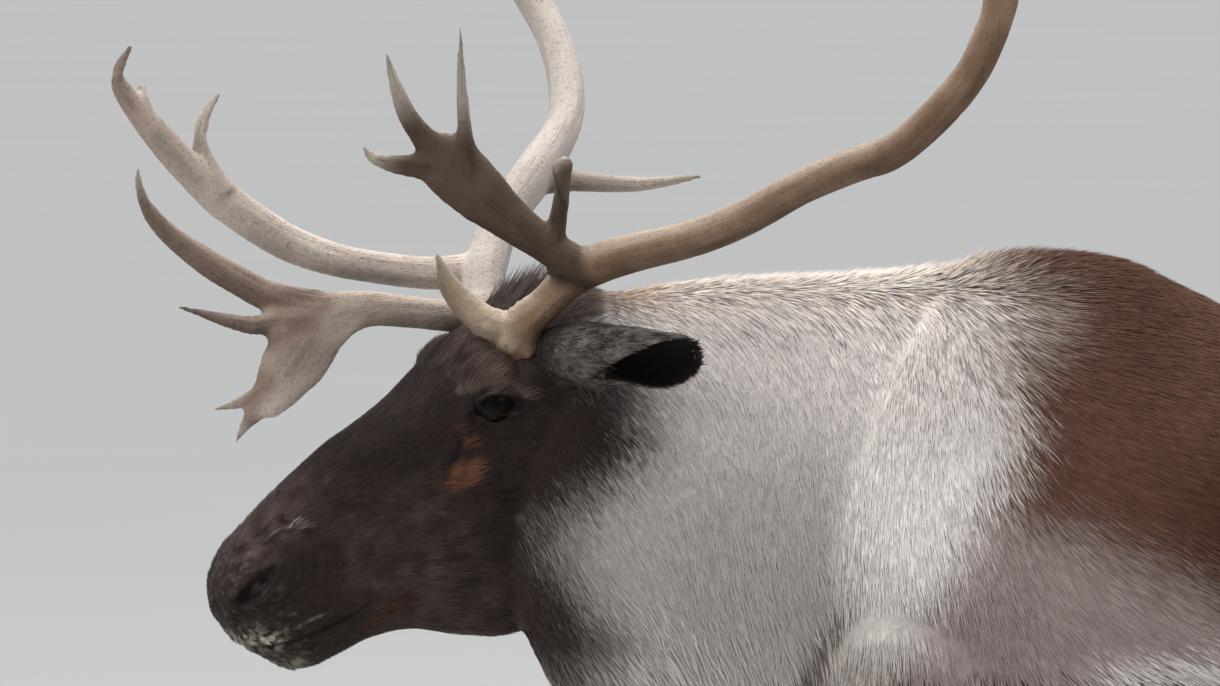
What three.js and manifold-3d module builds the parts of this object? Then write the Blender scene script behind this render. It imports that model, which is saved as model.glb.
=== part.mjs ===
// A bull reindeer at life size, standing still with its neck held level and its head low.
// Millimetres, +Z up. The nose points to -X, the left flank to -Y, and the highest hair of the
// shoulder hump stands over x = 0, y = 0 until the last step moves the origin under the whole animal.
import * as THREE from "three";
import { mergeVertices } from "three/addons/utils/BufferGeometryUtils.js";
import Module from "manifold-3d";

const wasm = await Module();
wasm.setup();

// Driving sizes
const GAP = 0.3; // between nodes that touch
const TRUNK_SIDES = 26;
const HEAD_SIDES = 26;
const LEG_SIDES = 14;
const BEAM_SIDES = 12;
const TINE_SIDES = 8;

// The head is turned towards the left, hangs nose down and tips its crown a little to the left.
const HEAD_AT = new THREE.Vector3(-407, -19, 1044.5);
const HEAD_TURN = 18;
const HEAD_DROP = 36;
const HEAD_TIP = 5;

const rad = THREE.MathUtils.degToRad;
const vec = (x, y, z) => new THREE.Vector3(x, y, z);

const headMatrix = new THREE.Matrix4()
  .makeRotationFromEuler(new THREE.Euler(rad(HEAD_TIP), -rad(HEAD_DROP), rad(HEAD_TURN), "ZYX"))
  .setPosition(HEAD_AT);
// A point given as distance ahead of the ears, distance to the right, and height over the head's axis.
const onHead = (ahead, right, up) => vec(-ahead, right, up).applyMatrix4(headMatrix);

// A closed solid from points and triangles, turned to face out.
function solidFrom(points, triangles) {
  const geometry = new THREE.BufferGeometry().setFromPoints(points);
  geometry.setIndex(triangles);
  const merged = mergeVertices(geometry, 1e-3);
  const vertProperties = merged.attributes.position.array;
  const triVerts = new Uint32Array(merged.index.array);
  const made = new wasm.Manifold(new wasm.Mesh({ numProp: 3, vertProperties, triVerts }));
  if (made.volume() >= 0) return made;
  return new wasm.Manifold(new wasm.Mesh({ numProp: 3, vertProperties, triVerts: triVerts.reverse() }));
}

// A skin over rings of equally many points, closed by a fan at each end.
function loft(rings) {
  const n = rings[0].length;
  const points = rings.flat();
  const triangles = [];
  for (let r = 0; r + 1 < rings.length; r++)
    for (let i = 0; i < n; i++) {
      const [a, b] = [r * n + i, r * n + ((i + 1) % n)];
      triangles.push(a, b, a + n, b, b + n, a + n);
    }
  const lastRing = (rings.length - 1) * n;
  const middle = (ring) => ring.reduce((sum, p) => sum.add(p), vec(0, 0, 0)).divideScalar(n);
  points.push(middle(rings[0]), middle(rings.at(-1)));
  for (let i = 0; i < n; i++) {
    triangles.push((i + 1) % n, i, points.length - 2);
    triangles.push(lastRing + i, lastRing + ((i + 1) % n), points.length - 1);
  }
  return solidFrom(points, triangles);
}

// A ring swept round into a closed band, such as the rim of an eyelid.
function band(rings) {
  const n = rings[0].length;
  const points = rings.flat();
  const triangles = [];
  for (let r = 0; r < rings.length; r++)
    for (let i = 0; i < n; i++) {
      const next = ((r + 1) % rings.length) * n;
      const [a, b] = [r * n + i, r * n + ((i + 1) % n)];
      triangles.push(a, b, next + i, b, next + ((i + 1) % n), next + i);
    }
  return solidFrom(points, triangles);
}

// Rows of numbers made finer by a curve through each column.
function finer(rows, steps) {
  if (steps === 1) return rows;
  const out = [];
  const at = (i) => rows[Math.min(Math.max(i, 0), rows.length - 1)];
  for (let i = 0; i + 1 < rows.length; i++)
    for (let s = 0; s < steps; s++) {
      const t = s / steps;
      out.push(at(i).map((p1, c) => {
        const [p0, p2, p3] = [at(i - 1)[c], at(i + 1)[c], at(i + 2)[c]];
        const pull = 2 * p0 - 5 * p1 + 4 * p2 - p3;
        return p1 + 0.5 * t * (p2 - p0 + t * (pull + t * (3 * (p1 - p2) + p3 - p0)));
      }));
    }
  out.push(rows.at(-1));
  return out;
}

// One point of a body section: half is its half width, and widest the share of its height, counted
// from below, at which it is widest. round is 2 for an ellipse, less is peaked and more is boxy.
function sectionPoint(angle, { top, bottom, half, widest, roundTop, roundBottom }) {
  const [c, s] = [Math.cos(angle), Math.sin(angle)];
  const round = s > 0 ? roundTop : roundBottom;
  const bend = (v) => Math.sign(v) * Math.abs(v) ** (2 / round);
  const middle = bottom + widest * (top - bottom);
  return [half * bend(c), middle + (s > 0 ? top - middle : middle - bottom) * bend(s)];
}
const aroundRing = (sides, pointAt) =>
  Array.from({ length: sides }, (_, i) => pointAt((2 * Math.PI * i) / sides));

const union = (solids) => wasm.Manifold.union(solids);
// The largest closed surface of a solid, which drops loose scraps.
const largest = (solid) => solid.decompose().reduce((a, b) => (a.volume() > b.volume() ? a : b));

// Trunk: x, top, bottom, half width, share of height at the widest, roundness above and below
const TRUNK = [
  [-246, 900, 790, 40, 0.5, 2, 2],
  [-232, 960, 722, 92, 0.48, 2, 2],
  [-196, 1030, 672, 142, 0.46, 1.9, 2],
  [-135, 1092, 640, 182, 0.44, 1.75, 2.1],
  [-62, 1123, 620, 204, 0.42, 1.65, 2.2],
  [0, 1130, 611, 216, 0.42, 1.65, 2.2],
  [56, 1126, 605, 226, 0.42, 1.7, 2.2],
  [106, 1106, 601, 234, 0.42, 1.8, 2.2],
  [150, 1086, 599, 240, 0.42, 1.9, 2.2],
  [230, 1064, 597, 249, 0.42, 2.05, 2.2],
  [340, 1052, 597, 254, 0.42, 2.1, 2.2],
  [460, 1050, 601, 254, 0.43, 2.1, 2.2],
  [580, 1056, 613, 248, 0.44, 2.1, 2.2],
  [690, 1064, 634, 234, 0.45, 2.05, 2.2],
  [790, 1056, 664, 213, 0.46, 2, 2.2],
  [870, 1028, 702, 183, 0.48, 2, 2.1],
  [928, 984, 748, 142, 0.5, 2, 2],
  [962, 935, 800, 92, 0.5, 2, 2],
  [976, 895, 842, 40, 0.5, 2, 2],
];

// Neck with its mane's core: x, sideways shift, top, bottom, half width, widest, roundness
const NECK = [
  [-462, -44, 1070, 856, 30, 0.5, 2, 2],
  [-440, -34, 1086, 800, 62, 0.5, 2, 2],
  [-410, -26, 1094, 752, 88, 0.48, 2, 2],
  [-370, -17, 1099, 722, 110, 0.46, 1.9, 2],
  [-320, -9, 1104, 702, 126, 0.44, 1.85, 2],
  [-262, -3, 1107, 690, 141, 0.42, 1.8, 2],
  [-205, 0, 1109, 688, 150, 0.42, 1.75, 2],
  [-140, 0, 1112, 700, 156, 0.42, 1.7, 2],
  [-70, 0, 1118, 730, 150, 0.42, 1.7, 2],
];

// Head: ahead of the ears, top, bottom, half width, widest, roundness above and below
const HEAD = [
  [-52, 22, -96, 44, 0.55, 2, 2],
  [-34, 42, -138, 62, 0.58, 2, 2],
  [-8, 57, -166, 73, 0.62, 2, 2],
  [22, 66, -184, 77, 0.68, 2.1, 2.1],
  [52, 66, -192, 77, 0.74, 2.2, 2.1],
  [84, 63, -194, 75, 0.78, 2.3, 2.1],
  [116, 59, -190, 71, 0.78, 2.3, 2.1],
  [148, 56, -184, 65, 0.74, 2.3, 2.1],
  [180, 57, -173, 59, 0.68, 2.3, 2.2],
  [212, 59, -147, 53, 0.6, 2.3, 2.2],
  [244, 57, -116, 49, 0.54, 2.3, 2.3],
  [276, 54, -100, 46, 0.5, 2.3, 2.4],
  [304, 49, -94, 47, 0.48, 2.4, 2.4],
  [328, 44, -88, 49, 0.46, 2.5, 2.3],
  [346, 36, -76, 46, 0.45, 2.4, 2.2],
  [360, 24, -52, 37, 0.45, 2.2, 2.1],
  [369, 8, -30, 22, 0.5, 2, 2],
];

const trunkRow = ([, top, bottom, half, widest, roundTop, roundBottom], grow) => ({
  top: top + grow, bottom: bottom - grow, half: half + grow, widest, roundTop, roundBottom,
});
const neckRow = ([, , ...rest], grow) => trunkRow([0, ...rest], grow);

function trunkSolid(grow = 0) {
  return loft(TRUNK.map((row) => aroundRing(TRUNK_SIDES, (angle) => {
    const [y, z] = sectionPoint(angle, trunkRow(row, grow));
    return vec(row[0], y, z);
  })));
}
function neckSolid(grow = 0) {
  return loft(NECK.map((row) => aroundRing(TRUNK_SIDES, (angle) => {
    const [y, z] = sectionPoint(angle, neckRow(row, grow));
    return vec(row[0], row[1] + y, z);
  })));
}
function headSolid(grow = 0) {
  return loft(HEAD.map((row) => aroundRing(HEAD_SIDES, (angle) => {
    const [y, z] = sectionPoint(angle, trunkRow(row, grow));
    return onHead(row[0], y, z);
  })));
}

// Legs: x and y of the middle, z, half depth fore and aft, half width
const FORELEG = [
  [-70, 108, 930, 52, 34],
  [-76, 118, 872, 86, 56],
  [-80, 127, 806, 104, 68],
  [-72, 134, 734, 96, 69],
  [-56, 138, 662, 74, 58],
  [-47, 138, 600, 58, 46],
  [-48, 136, 540, 47, 39],
  [-52, 134, 470, 38, 33],
  [-56, 132, 410, 34, 31],
  [-59, 131, 365, 36, 33],
  [-57, 131, 325, 31, 29],
  [-54, 131, 280, 25, 24],
  [-52, 132, 210, 23, 22],
  [-52, 133, 150, 25, 24],
  [-55, 134, 118, 30, 29],
  [-66, 135, 90, 29, 29],
  [-79, 136, 68, 32, 36],
  [-87, 137, 51, 37, 43],
];
const HINDLEG = [
  [800, 100, 940, 64, 40],
  [806, 116, 876, 112, 68],
  [802, 128, 800, 138, 84],
  [788, 135, 714, 126, 77],
  [792, 136, 636, 95, 60],
  [814, 134, 570, 69, 47],
  [843, 132, 515, 51, 38],
  [868, 130, 465, 43, 33],
  [880, 129, 420, 39, 31],
  [878, 129, 375, 33, 28],
  [870, 130, 310, 27, 24],
  [862, 131, 230, 25, 23],
  [856, 132, 155, 26, 24],
  [853, 133, 118, 31, 29],
  [842, 134, 90, 30, 29],
  [829, 135, 68, 33, 36],
  [821, 136, 51, 38, 43],
];
const STRIDE_FROM = 700; // above this height the legs stand alike
// name, rows, side, how far the hoof is set back, height of the cut between upper and lower leg
const LEGS = [
  { name: "foreleg_left", rows: FORELEG, side: -1, stride: -8, joint: 388 },
  { name: "foreleg_right", rows: FORELEG, side: 1, stride: 52, joint: 388 },
  { name: "hindleg_left", rows: HINDLEG, side: -1, stride: 34, joint: 452 },
  { name: "hindleg_right", rows: HINDLEG, side: 1, stride: -46, joint: 452 },
];
const setBack = (leg, z) => leg.stride * Math.max(0, 1 - z / STRIDE_FROM);

function legSolid(leg, grow = 0) {
  return loft(leg.rows.map(([x, y, z, deep, wide]) => aroundRing(LEG_SIDES, (angle) => vec(
    x + setBack(leg, z) + (deep + grow) * Math.cos(angle),
    leg.side * y + (wide + grow) * Math.sin(angle),
    z - (z === leg.rows.at(-1)[2] ? grow : 0),
  ))));
}

// Hooves: two broad half-moon claws that spread at the toe
const CLAW = { height: 50.7, length: 104, width: 46, between: 7, splay: 7 };
const CLAW_LEVELS = [[0, 1, 0], [7, 1.02, 0], [26, 0.9, 5], [CLAW.height, 0.72, 14]]; // z, size, lean back
function clawSolid(leg, outer) {
  const [x, y] = leg.rows.at(-1);
  const facing = leg.side * (outer ? 1 : -1);
  const heart = vec(x + setBack(leg, 0) - 14, leg.side * y + (facing * (CLAW.between + CLAW.width)) / 2, 0);
  const turn = rad(-facing * CLAW.splay);
  return loft(CLAW_LEVELS.map(([z, size, lean]) => aroundRing(14, (angle) => {
    const across = Math.sin(angle) * (Math.sin(angle) > 0 ? 1 : 0.78);
    const back = -Math.cos(angle) * (CLAW.length / 2) * size + lean;
    const p = vec(back, (facing * across * CLAW.width * size) / 2, z);
    const inside = facing * (size - 1) * CLAW.width * 0.3; // the claws stay side by side as they narrow
    return p.add(vec(0, inside, 0)).applyAxisAngle(vec(0, 0, 1), turn).add(heart);
  })));
}

// Dewclaws behind each pastern: rows of x behind the fetlock, y out, z, size
const DEWCLAW = [[12, 17, 104, 12], [30, 21, 92, 13], [44, 24, 74, 11], [50, 25, 58, 6]];
function dewclawSolid(leg, outer) {
  const fetlock = leg.rows.find((row) => row[2] === 118);
  const facing = leg.side * (outer ? 1 : -1);
  return loft(DEWCLAW.map(([back, out, z, size]) => aroundRing(TINE_SIDES, (angle) => vec(
    fetlock[0] + setBack(leg, z) + back + size * Math.cos(angle),
    leg.side * fetlock[1] + facing * out + size * 0.8 * Math.sin(angle),
    z + size * 0.45 * Math.cos(angle),
  )))).subtract(legSolid(leg, GAP));
}

// Tail: x, z, half width, half thickness
const TAIL = [
  [930, 962, 30, 20],
  [964, 962, 38, 24],
  [990, 934, 44, 27],
  [1002, 892, 42, 25],
  [1004, 850, 30, 18],
  [1000, 812, 6, 5],
];
function tailSolid(grow = 0) {
  const path = new THREE.CatmullRomCurve3(TAIL.map(([x, z]) => vec(x, 0, z)));
  const rows = finer(TAIL, 2);
  return loft(rows.map(([, , wide, thick], i) => {
    const t = i / (rows.length - 1);
    const [middle, along] = [path.getPoint(t), path.getTangent(t)];
    const out = vec(-along.z, 0, along.x);
    return aroundRing(12, (angle) => middle.clone()
      .addScaledVector(vec(0, 1, 0), (wide + grow) * Math.cos(angle))
      .addScaledVector(out, (thick + grow) * Math.sin(angle)));
  }));
}

// Ear: a cup on a short root that points back and out. Near the head the cup faces the ground, and
// it turns outwards on the way to the tip.
const EAR_PATH = [
  [-418, 54, 1040], [-392, 96, 1042], [-357, 135, 1041], [-322, 160, 1040], [-288, 173, 1050],
];
// Share along, half width, opening of the arc each side of the back in degrees, inner size, outward turn
const EAR_CUP = [
  [0, 23, 176, 0.1, 0],
  [0.16, 30, 174, 0.12, 0],
  [0.32, 33, 166, 0.3, 4],
  [0.46, 32, 140, 0.66, 14],
  [0.6, 31, 122, 0.8, 30],
  [0.74, 28, 108, 0.84, 46],
  [0.88, 20, 98, 0.82, 58],
  [0.97, 8, 94, 0.7, 62],
];
const EAR_ACROSS = 8;
// The left ear is placed directly, and the right one is its mirror across the turned head's own middle.
const toOwn = headMatrix.clone().invert();
function mirrored(v, isPoint) {
  const own = isPoint ? v.applyMatrix4(toOwn) : v.transformDirection(toOwn);
  own.y = -own.y;
  return isPoint ? own.applyMatrix4(headMatrix) : own.transformDirection(headMatrix);
}
function earSolid(side) {
  const forSide = (v, isPoint) => (side < 0 ? v : mirrored(v, isPoint));
  const path = new THREE.CatmullRomCurve3(EAR_PATH.map(([x, y, z]) => vec(x, -y, z)));
  return loft(finer(EAR_CUP, 2).map(([t, half, open, inner, turn]) => {
    const [middle, along] = [path.getPoint(t), path.getTangent(t)];
    const up = vec(0, 0, 1).addScaledVector(along, -along.z).normalize();
    const back = up.applyAxisAngle(along, -rad(turn));
    const across = new THREE.Vector3().crossVectors(along, back);
    const arc = (share, size) => {
      const angle = rad(open) * (2 * share - 1);
      const p = middle.clone()
        .addScaledVector(back, half * size * Math.cos(angle) * 0.85)
        .addScaledVector(across, half * size * Math.sin(angle));
      return forSide(p, true);
    };
    const shell = Array.from({ length: EAR_ACROSS }, (_, i) => arc(i / (EAR_ACROSS - 1), 1));
    const lining = Array.from({ length: EAR_ACROSS }, (_, i) => arc(1 - i / (EAR_ACROSS - 1), inner));
    return [...shell, ...lining];
  }));
}

// Eyes, lids, nostrils and mouth, all by ahead, sideways and up on the head
const EYE = { ahead: 88, out: 60, up: 18, radius: 19.5 };
const LID = { long: 20, high: 13, rim: 3.4, bulge: 18, drop: 4.5, tilt: 40 };
const eyeAt = (side) => onHead(EYE.ahead, side * EYE.out, EYE.up);

function ballSolid(centre, radius, stretch = vec(1, 1, 1), across = 14) {
  const ball = new THREE.SphereGeometry(radius, across, across / 2);
  const axes = new THREE.Matrix4().extractRotation(headMatrix).scale(stretch).setPosition(centre);
  ball.applyMatrix4(axes);
  ball.deleteAttribute("normal");
  ball.deleteAttribute("uv");
  const merged = mergeVertices(ball, 1e-3);
  const points = [];
  for (let i = 0; i < merged.attributes.position.count; i++)
    points.push(new THREE.Vector3().fromBufferAttribute(merged.attributes.position, i));
  const faces = Array.from(merged.index.array);
  const real = [];
  for (let i = 0; i < faces.length; i += 3)
    if (new Set(faces.slice(i, i + 3)).size === 3) real.push(...faces.slice(i, i + 3));
  return solidFrom(points, real);
}

// A point near the eye, by its place along and across the opening and its distance out
function aroundEye(side, along, up, out) {
  const turn = rad(LID.tilt);
  const ahead = EYE.ahead + along * Math.cos(turn) - up * Math.sin(turn);
  return onHead(ahead, side * out, EYE.up + along * Math.sin(turn) + up * Math.cos(turn));
}
function lidSolid(side) {
  return band(aroundRing(16, (angle) => {
    const [c, s] = [Math.cos(angle), Math.sin(angle)];
    const out = EYE.out + LID.bulge - LID.drop * c * c;
    return aroundRing(5, (round) => aroundEye(
      side,
      (LID.long + LID.rim * Math.cos(round)) * c,
      (LID.high + LID.rim * Math.cos(round)) * s,
      out + LID.rim * 1.2 * Math.sin(round),
    ));
  }));
}
// The opening between the lids
function openingSolid(side) {
  return loft([[0, 0.75], [14, 1], [40, 1]].map(([out, size]) => aroundRing(16, (angle) => aroundEye(
    side,
    (LID.long - LID.rim) * size * Math.cos(angle),
    (LID.high - LID.rim) * size * Math.sin(angle),
    EYE.out + out,
  ))));
}

// The line of the mouth from the corner forward, and how deep the lips part
const MOUTH = [[246, -62], [276, -62], [306, -56], [336, -46], [366, -35], [384, -30]];
const MOUTH_OPEN = 3.4;
const TEETH = [[225, 36], [262, 35], [300, 36], [326, 37], [342, 32], [354, 18]]; // where the slit stops
function mouthCut() {
  const slit = loft(finer(MOUTH, 2).map(([a, h], i) => {
    const open = MOUTH_OPEN * Math.min(1, 0.25 + i / 3);
    return [[-80, -1], [80, -1], [80, 1], [-80, 1]].map(([y, up]) => onHead(a, y, h + (up * open) / 2));
  }));
  const outline = [...TEETH, ...TEETH.map(([a, y]) => [a, -y]).reverse()];
  return slit.subtract(loft([-120, 0].map((h) => outline.map(([a, y]) => onHead(a, y, h)))));
}

// The nostril is a slanting comma: ahead, out, up, radius
const NOSTRIL = [
  [357, 20, 2, 3.2], [354, 29, 8, 5.2], [347, 38, 15, 5.6], [337, 45, 21, 4.4], [328, 49, 21, 2.6],
];
function nostrilCut(side) {
  const rows = NOSTRIL.map(([a, y, h, r]) => [...onHead(a, side * y, h).toArray(), r, r]);
  return hornSolid(rows, vec(0, 0, 1), 2, 8);
}

// A tapering bar along a curve: rows of x, y, z, half breadth and half thickness, and the broad way.
function hornSolid(rows, broad, steps, sides, grow = 0) {
  const path = new THREE.CatmullRomCurve3(rows.map(([x, y, z]) => vec(x, y, z)), false, "centripetal");
  const fine = finer(rows, steps);
  return loft(fine.map(([, , , wide, thin], i) => {
    const t = i / (fine.length - 1);
    const [middle, along] = [path.getPoint(t), path.getTangent(t)];
    const across = broad.clone().addScaledVector(along, -broad.dot(along)).normalize();
    const out = new THREE.Vector3().crossVectors(along, across);
    return aroundRing(sides, (angle) => middle.clone()
      .addScaledVector(across, (wide + grow) * Math.cos(angle))
      .addScaledVector(out, (thin + grow) * Math.sin(angle)));
  }));
}

// Antlers. Each beam rises from its burr, sweeps back and out, then up and forward to a small palm.
const BURR = { ahead: 38, out: 45, up: 40, radius: 22.5 };
const burrAt = (side) => onHead(BURR.ahead, side * BURR.out, BURR.up).toArray();
const PEDICLE = { left: onHead(46, -41, 18).toArray(), right: onHead(46, 41, 18).toArray() };

const LEFT_BEAM = [
  [...PEDICLE.left, 20, 20],
  [...burrAt(-1), 21, 21],
  [-435, -89, 1068, 17, 17],
  [-419, -94, 1083, 15, 15],
  [-403, -100, 1099, 16, 15.5],
  [-384, -110, 1114, 18, 16],
  [-343, -150, 1129, 16, 16],
  [-295, -192, 1143, 15, 15],
  [-249, -232, 1164, 15, 14.5],
  [-212, -262, 1186, 15, 14.5],
  [-170, -295, 1206, 15, 14],
  [-139, -315, 1218, 15, 14],
  [-111, -335, 1241, 15, 14],
  [-84, -352, 1272, 15, 14],
  [-65, -361, 1306, 14.5, 14],
  [-54, -362, 1345, 14.5, 13],
  [-58, -354, 1395, 15, 12.5],
  [-82, -340, 1445, 19, 12],
  [-120, -322, 1488, 27, 11],
  [-168, -302, 1520, 30, 9.5],
  [-208, -287, 1540, 20, 8],
];
const RIGHT_BEAM = [
  [...PEDICLE.right, 20, 20],
  [...burrAt(1), 21, 21],
  [-472, 22, 1086, 19, 18],
  [-469, 42, 1110, 20, 18],
  [-456, 78, 1146, 20, 17],
  [-430, 118, 1182, 24, 17],
  [-406, 160, 1220, 19, 16],
  [-403, 198, 1258, 16.5, 15],
  [-414, 232, 1295, 15, 14],
  [-433, 258, 1330, 15, 13.5],
  [-462, 275, 1378, 15, 13],
  [-505, 281, 1424, 19, 12],
  [-556, 274, 1462, 27, 11],
  [-610, 256, 1490, 29, 9.5],
  [-650, 240, 1500, 19, 8],
];
// Sideways view of the palms: their broad way lies near the plane in which the beam curves.
const UPRIGHT = vec(0.1, 0, 1).normalize();
const PALM_WAY = vec(0.35, 0.1, 0.93).normalize();

const LEFT_BROW = [
  [-446, -86, 1060, 13, 12], [-467, -84, 1067, 14, 11], [-486, -84, 1083, 12, 9], [-500, -88, 1101, 8.5, 7],
  [-509, -92, 1125, 2, 2],
];
const LEFT_KNOB = [
  [-404, -114, 1112, 14, 11], [-410, -122, 1137, 11, 9], [-407, -130, 1160, 12, 7], [-404, -137, 1180, 14, 6],
  [-406, -143, 1197, 9, 5], [-409, -146, 1206, 4, 3],
];
const LEFT_BEZ = [
  [-386, -114, 1113, 16, 14], [-416, -125, 1132, 15, 11.5], [-446, -138, 1154, 19, 9],
  [-474, -150, 1179, 26, 7.5], [-500, -160, 1204, 27, 6.5], [-515, -165, 1217, 15, 5],
];
const LEFT_BEZ_TINES = [
  [
    [-490, -158, 1196, 13, 5], [-525, -166, 1200, 11, 6], [-549, -168, 1203, 7, 5], [-560, -168, 1208, 5, 4],
    [-567, -168, 1216, 1.6, 1.6],
  ],
  [
    [-496, -158, 1198, 14, 5], [-525, -171, 1233, 10.5, 6], [-539, -181, 1262, 7, 5],
    [-548, -190, 1294, 1.6, 1.6],
  ],
  [
    [-476, -151, 1182, 12, 5], [-483, -159, 1219, 9, 6], [-486, -169, 1262, 6, 5],
    [-487, -182, 1314, 1.6, 1.6],
  ],
];
const LEFT_CROWN_TINES = [
  [[-112, -325, 1478, 14, 8], [-92, -314, 1528, 9, 7], [-84, -300, 1580, 2, 2]],
  [[-160, -305, 1520, 15, 8], [-150, -290, 1575, 10, 7], [-156, -274, 1640, 2, 2]],
  [[-196, -291, 1536, 14, 7], [-226, -270, 1585, 9, 6], [-240, -254, 1636, 2, 2]],
  [[-196, -291, 1532, 14, 7], [-252, -266, 1551, 9, 6], [-304, -242, 1580, 2, 2]],
];
const RIGHT_BROW = [
  [-462, 4, 1064, 14, 14], [-499, -26, 1069, 13.5, 11], [-536, -42, 1074, 14, 10], [-572, -50, 1076, 17, 9],
  [-604, -57, 1064, 27, 8], [-625, -65, 1038, 32, 7], [-642, -72, 1012, 24, 6], [-656, -76, 992, 14, 5],
];
const RIGHT_BROW_TINES = [
  [
    [-606, -56, 1077, 18, 5], [-646, -66, 1087, 14.5, 7], [-673, -76, 1101, 13, 7],
    [-700, -86, 1118, 12, 6.5], [-726, -97, 1138, 9.5, 5.5], [-744, -106, 1158, 7, 4.5],
    [-752, -111, 1176, 4.5, 3.5], [-755, -114, 1198, 1.5, 1.5],
  ],
  [
    [-612, -60, 1062, 16, 5], [-640, -68, 1066, 12, 6], [-662, -80, 1064, 9, 5.5],
    [-690, -92, 1071, 6, 4.5], [-722, -102, 1081, 1.5, 1.5],
  ],
  [[-644, -73, 1012, 12, 4.5], [-670, -79, 1001, 7.5, 4.5], [-694, -86, 995, 1.5, 1.5]],
  [[-652, -75, 998, 11, 4], [-667, -78, 983, 6.5, 4], [-677, -81, 966, 1.5, 1.5]],
];
const RIGHT_BEZ = [
  [-474, 44, 1104, 16, 14], [-517, 44, 1102, 14.5, 12], [-559, 44, 1106, 14, 11],
  [-601, 40, 1114, 14.5, 10.5],
  [-643, 32, 1131, 16, 10], [-685, 20, 1160, 17, 9], [-726, 6, 1198, 14, 8], [-759, -6, 1238, 11, 7],
  [-777, -15, 1268, 7, 5], [-765, -22, 1296, 2, 2],
];
const RIGHT_BEZ_TINES = [
  [[-692, 16, 1168, 13, 8], [-709, 20, 1204, 9, 6], [-707, 26, 1233, 6, 5], [-694, 34, 1254, 2, 2]],
  [[-752, -4, 1232, 8, 6], [-757, -2, 1250, 6.5, 5], [-758, 4, 1262, 4, 3.5]],
];
const RIGHT_REAR = [
  [-426, 122, 1178, 17, 12], [-396, 142, 1175, 12, 9], [-339, 172, 1171, 8, 7], [-286, 195, 1177, 2, 2],
];
const RIGHT_CROWN_TINES = [
  [[-545, 272, 1455, 14, 8], [-522, 258, 1512, 9, 7], [-512, 246, 1566, 2, 2]],
  [[-596, 258, 1484, 15, 8], [-588, 244, 1545, 10, 7], [-596, 232, 1604, 2, 2]],
  [[-636, 245, 1498, 14, 7], [-668, 230, 1542, 9, 6], [-682, 220, 1590, 2, 2]],
  [[-634, 245, 1494, 14, 7], [-688, 224, 1506, 9, 6], [-738, 204, 1530, 2, 2]],
];

// A stem and its tines as one solid, clear of the solid that carries them
function branch(stem, tines, carrier, broad = UPRIGHT) {
  const stemSolid = stem ? [hornSolid(stem, broad, 1, TINE_SIDES + 2)] : [];
  const all = union([...stemSolid, ...tines.map((rows) => hornSolid(rows, broad, 1, TINE_SIDES))]);
  return largest(all.subtract(carrier));
}

// The burr's rough collar is a ring of knobs round the foot of the beam.
function burrSolid(side, grow = 0) {
  const way = vec(...(side < 0 ? LEFT_BEAM : RIGHT_BEAM)[2]).sub(vec(...burrAt(side))).normalize();
  const across = vec(0, 0, 1).addScaledVector(way, -way.z).normalize();
  const out = new THREE.Vector3().crossVectors(way, across);
  const levels = [[-6, 0.86], [0, 1.03], [9, 0.8]];
  return loft(levels.map(([lift, size]) => aroundRing(16, (angle) => {
    const knobs = 1 + 0.04 * Math.sin(7 * angle) + 0.03 * Math.sin(11 * angle + 1);
    const radius = BURR.radius * size * knobs + grow;
    return vec(...burrAt(side)).addScaledVector(way, lift)
      .addScaledVector(across, radius * Math.cos(angle))
      .addScaledVector(out, radius * Math.sin(angle));
  })));
}

// A big slab whose face goes through a point and whose body lies on the side that the normal points to
const REACH = 3000;
function beyond(point, normal) {
  const box = new THREE.BoxGeometry(REACH, REACH, REACH).translate(0, 0, REACH / 2);
  const turn = new THREE.Quaternion().setFromUnitVectors(vec(0, 0, 1), normal.clone().normalize());
  box.applyQuaternion(turn).translate(point.x, point.y, point.z);
  const p = box.attributes.position;
  const points = Array.from({ length: p.count }, (_, i) => new THREE.Vector3().fromBufferAttribute(p, i));
  return solidFrom(points, Array.from(box.index.array));
}
// Both sides of a thin cut
function parted(solid, point, normal) {
  const way = normal.clone().normalize();
  const far = solid.intersect(beyond(point.clone().addScaledVector(way, GAP / 2), way));
  const near = solid.intersect(beyond(point.clone().addScaledVector(way, -GAP / 2), way.clone().negate()));
  return [near, far];
}

// Mane: flat tapered locks on the lower neck that hang, bend and overlap down to the chest
const MANE = { fromX: -434, toX: -238, rows: 8, across: 7, arc: 64, length: 106, width: 18, thick: 5.5 };
// Along a lock: share of its length, width and thickness there
const LOCK = [[-0.2, 0.5, 0.9], [0.15, 1, 1], [0.6, 0.74, 0.7], [1, 0.07, 0.2]];
let drawn = 7;
const draw = () => {
  drawn = (drawn * 16807) % 2147483647;
  return drawn / 2147483647;
};

function neckSurface(x, angle) {
  const i = NECK.findIndex((row) => row[0] >= x);
  const share = (x - NECK[i - 1][0]) / (NECK[i][0] - NECK[i - 1][0]);
  const row = NECK[i].map((v, c) => NECK[i - 1][c] + share * (v - NECK[i - 1][c]));
  const at = (a) => {
    const [y, z] = sectionPoint(a, neckRow(row, 0));
    return vec(x, row[1] + y, z);
  };
  const along = at(angle + 0.02).sub(at(angle - 0.02)).normalize();
  return { point: at(angle), outward: vec(0, along.z, -along.y) };
}
function lockSolid(root, outward, way, length, width, thick) {
  const across = new THREE.Vector3().crossVectors(way, outward).normalize();
  return loft(LOCK.map(([t, wide, deep]) => {
    const droop = vec(0, 0, -0.22 * t * t * length);
    const middle = root.clone().addScaledVector(way, t * length).add(droop);
    return [[1, 0], [0, 1], [-1, 0], [0, -1]].map(([a, o]) => middle.clone()
      .addScaledVector(across, a * width * wide)
      .addScaledVector(outward, o * thick * deep));
  }));
}
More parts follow.
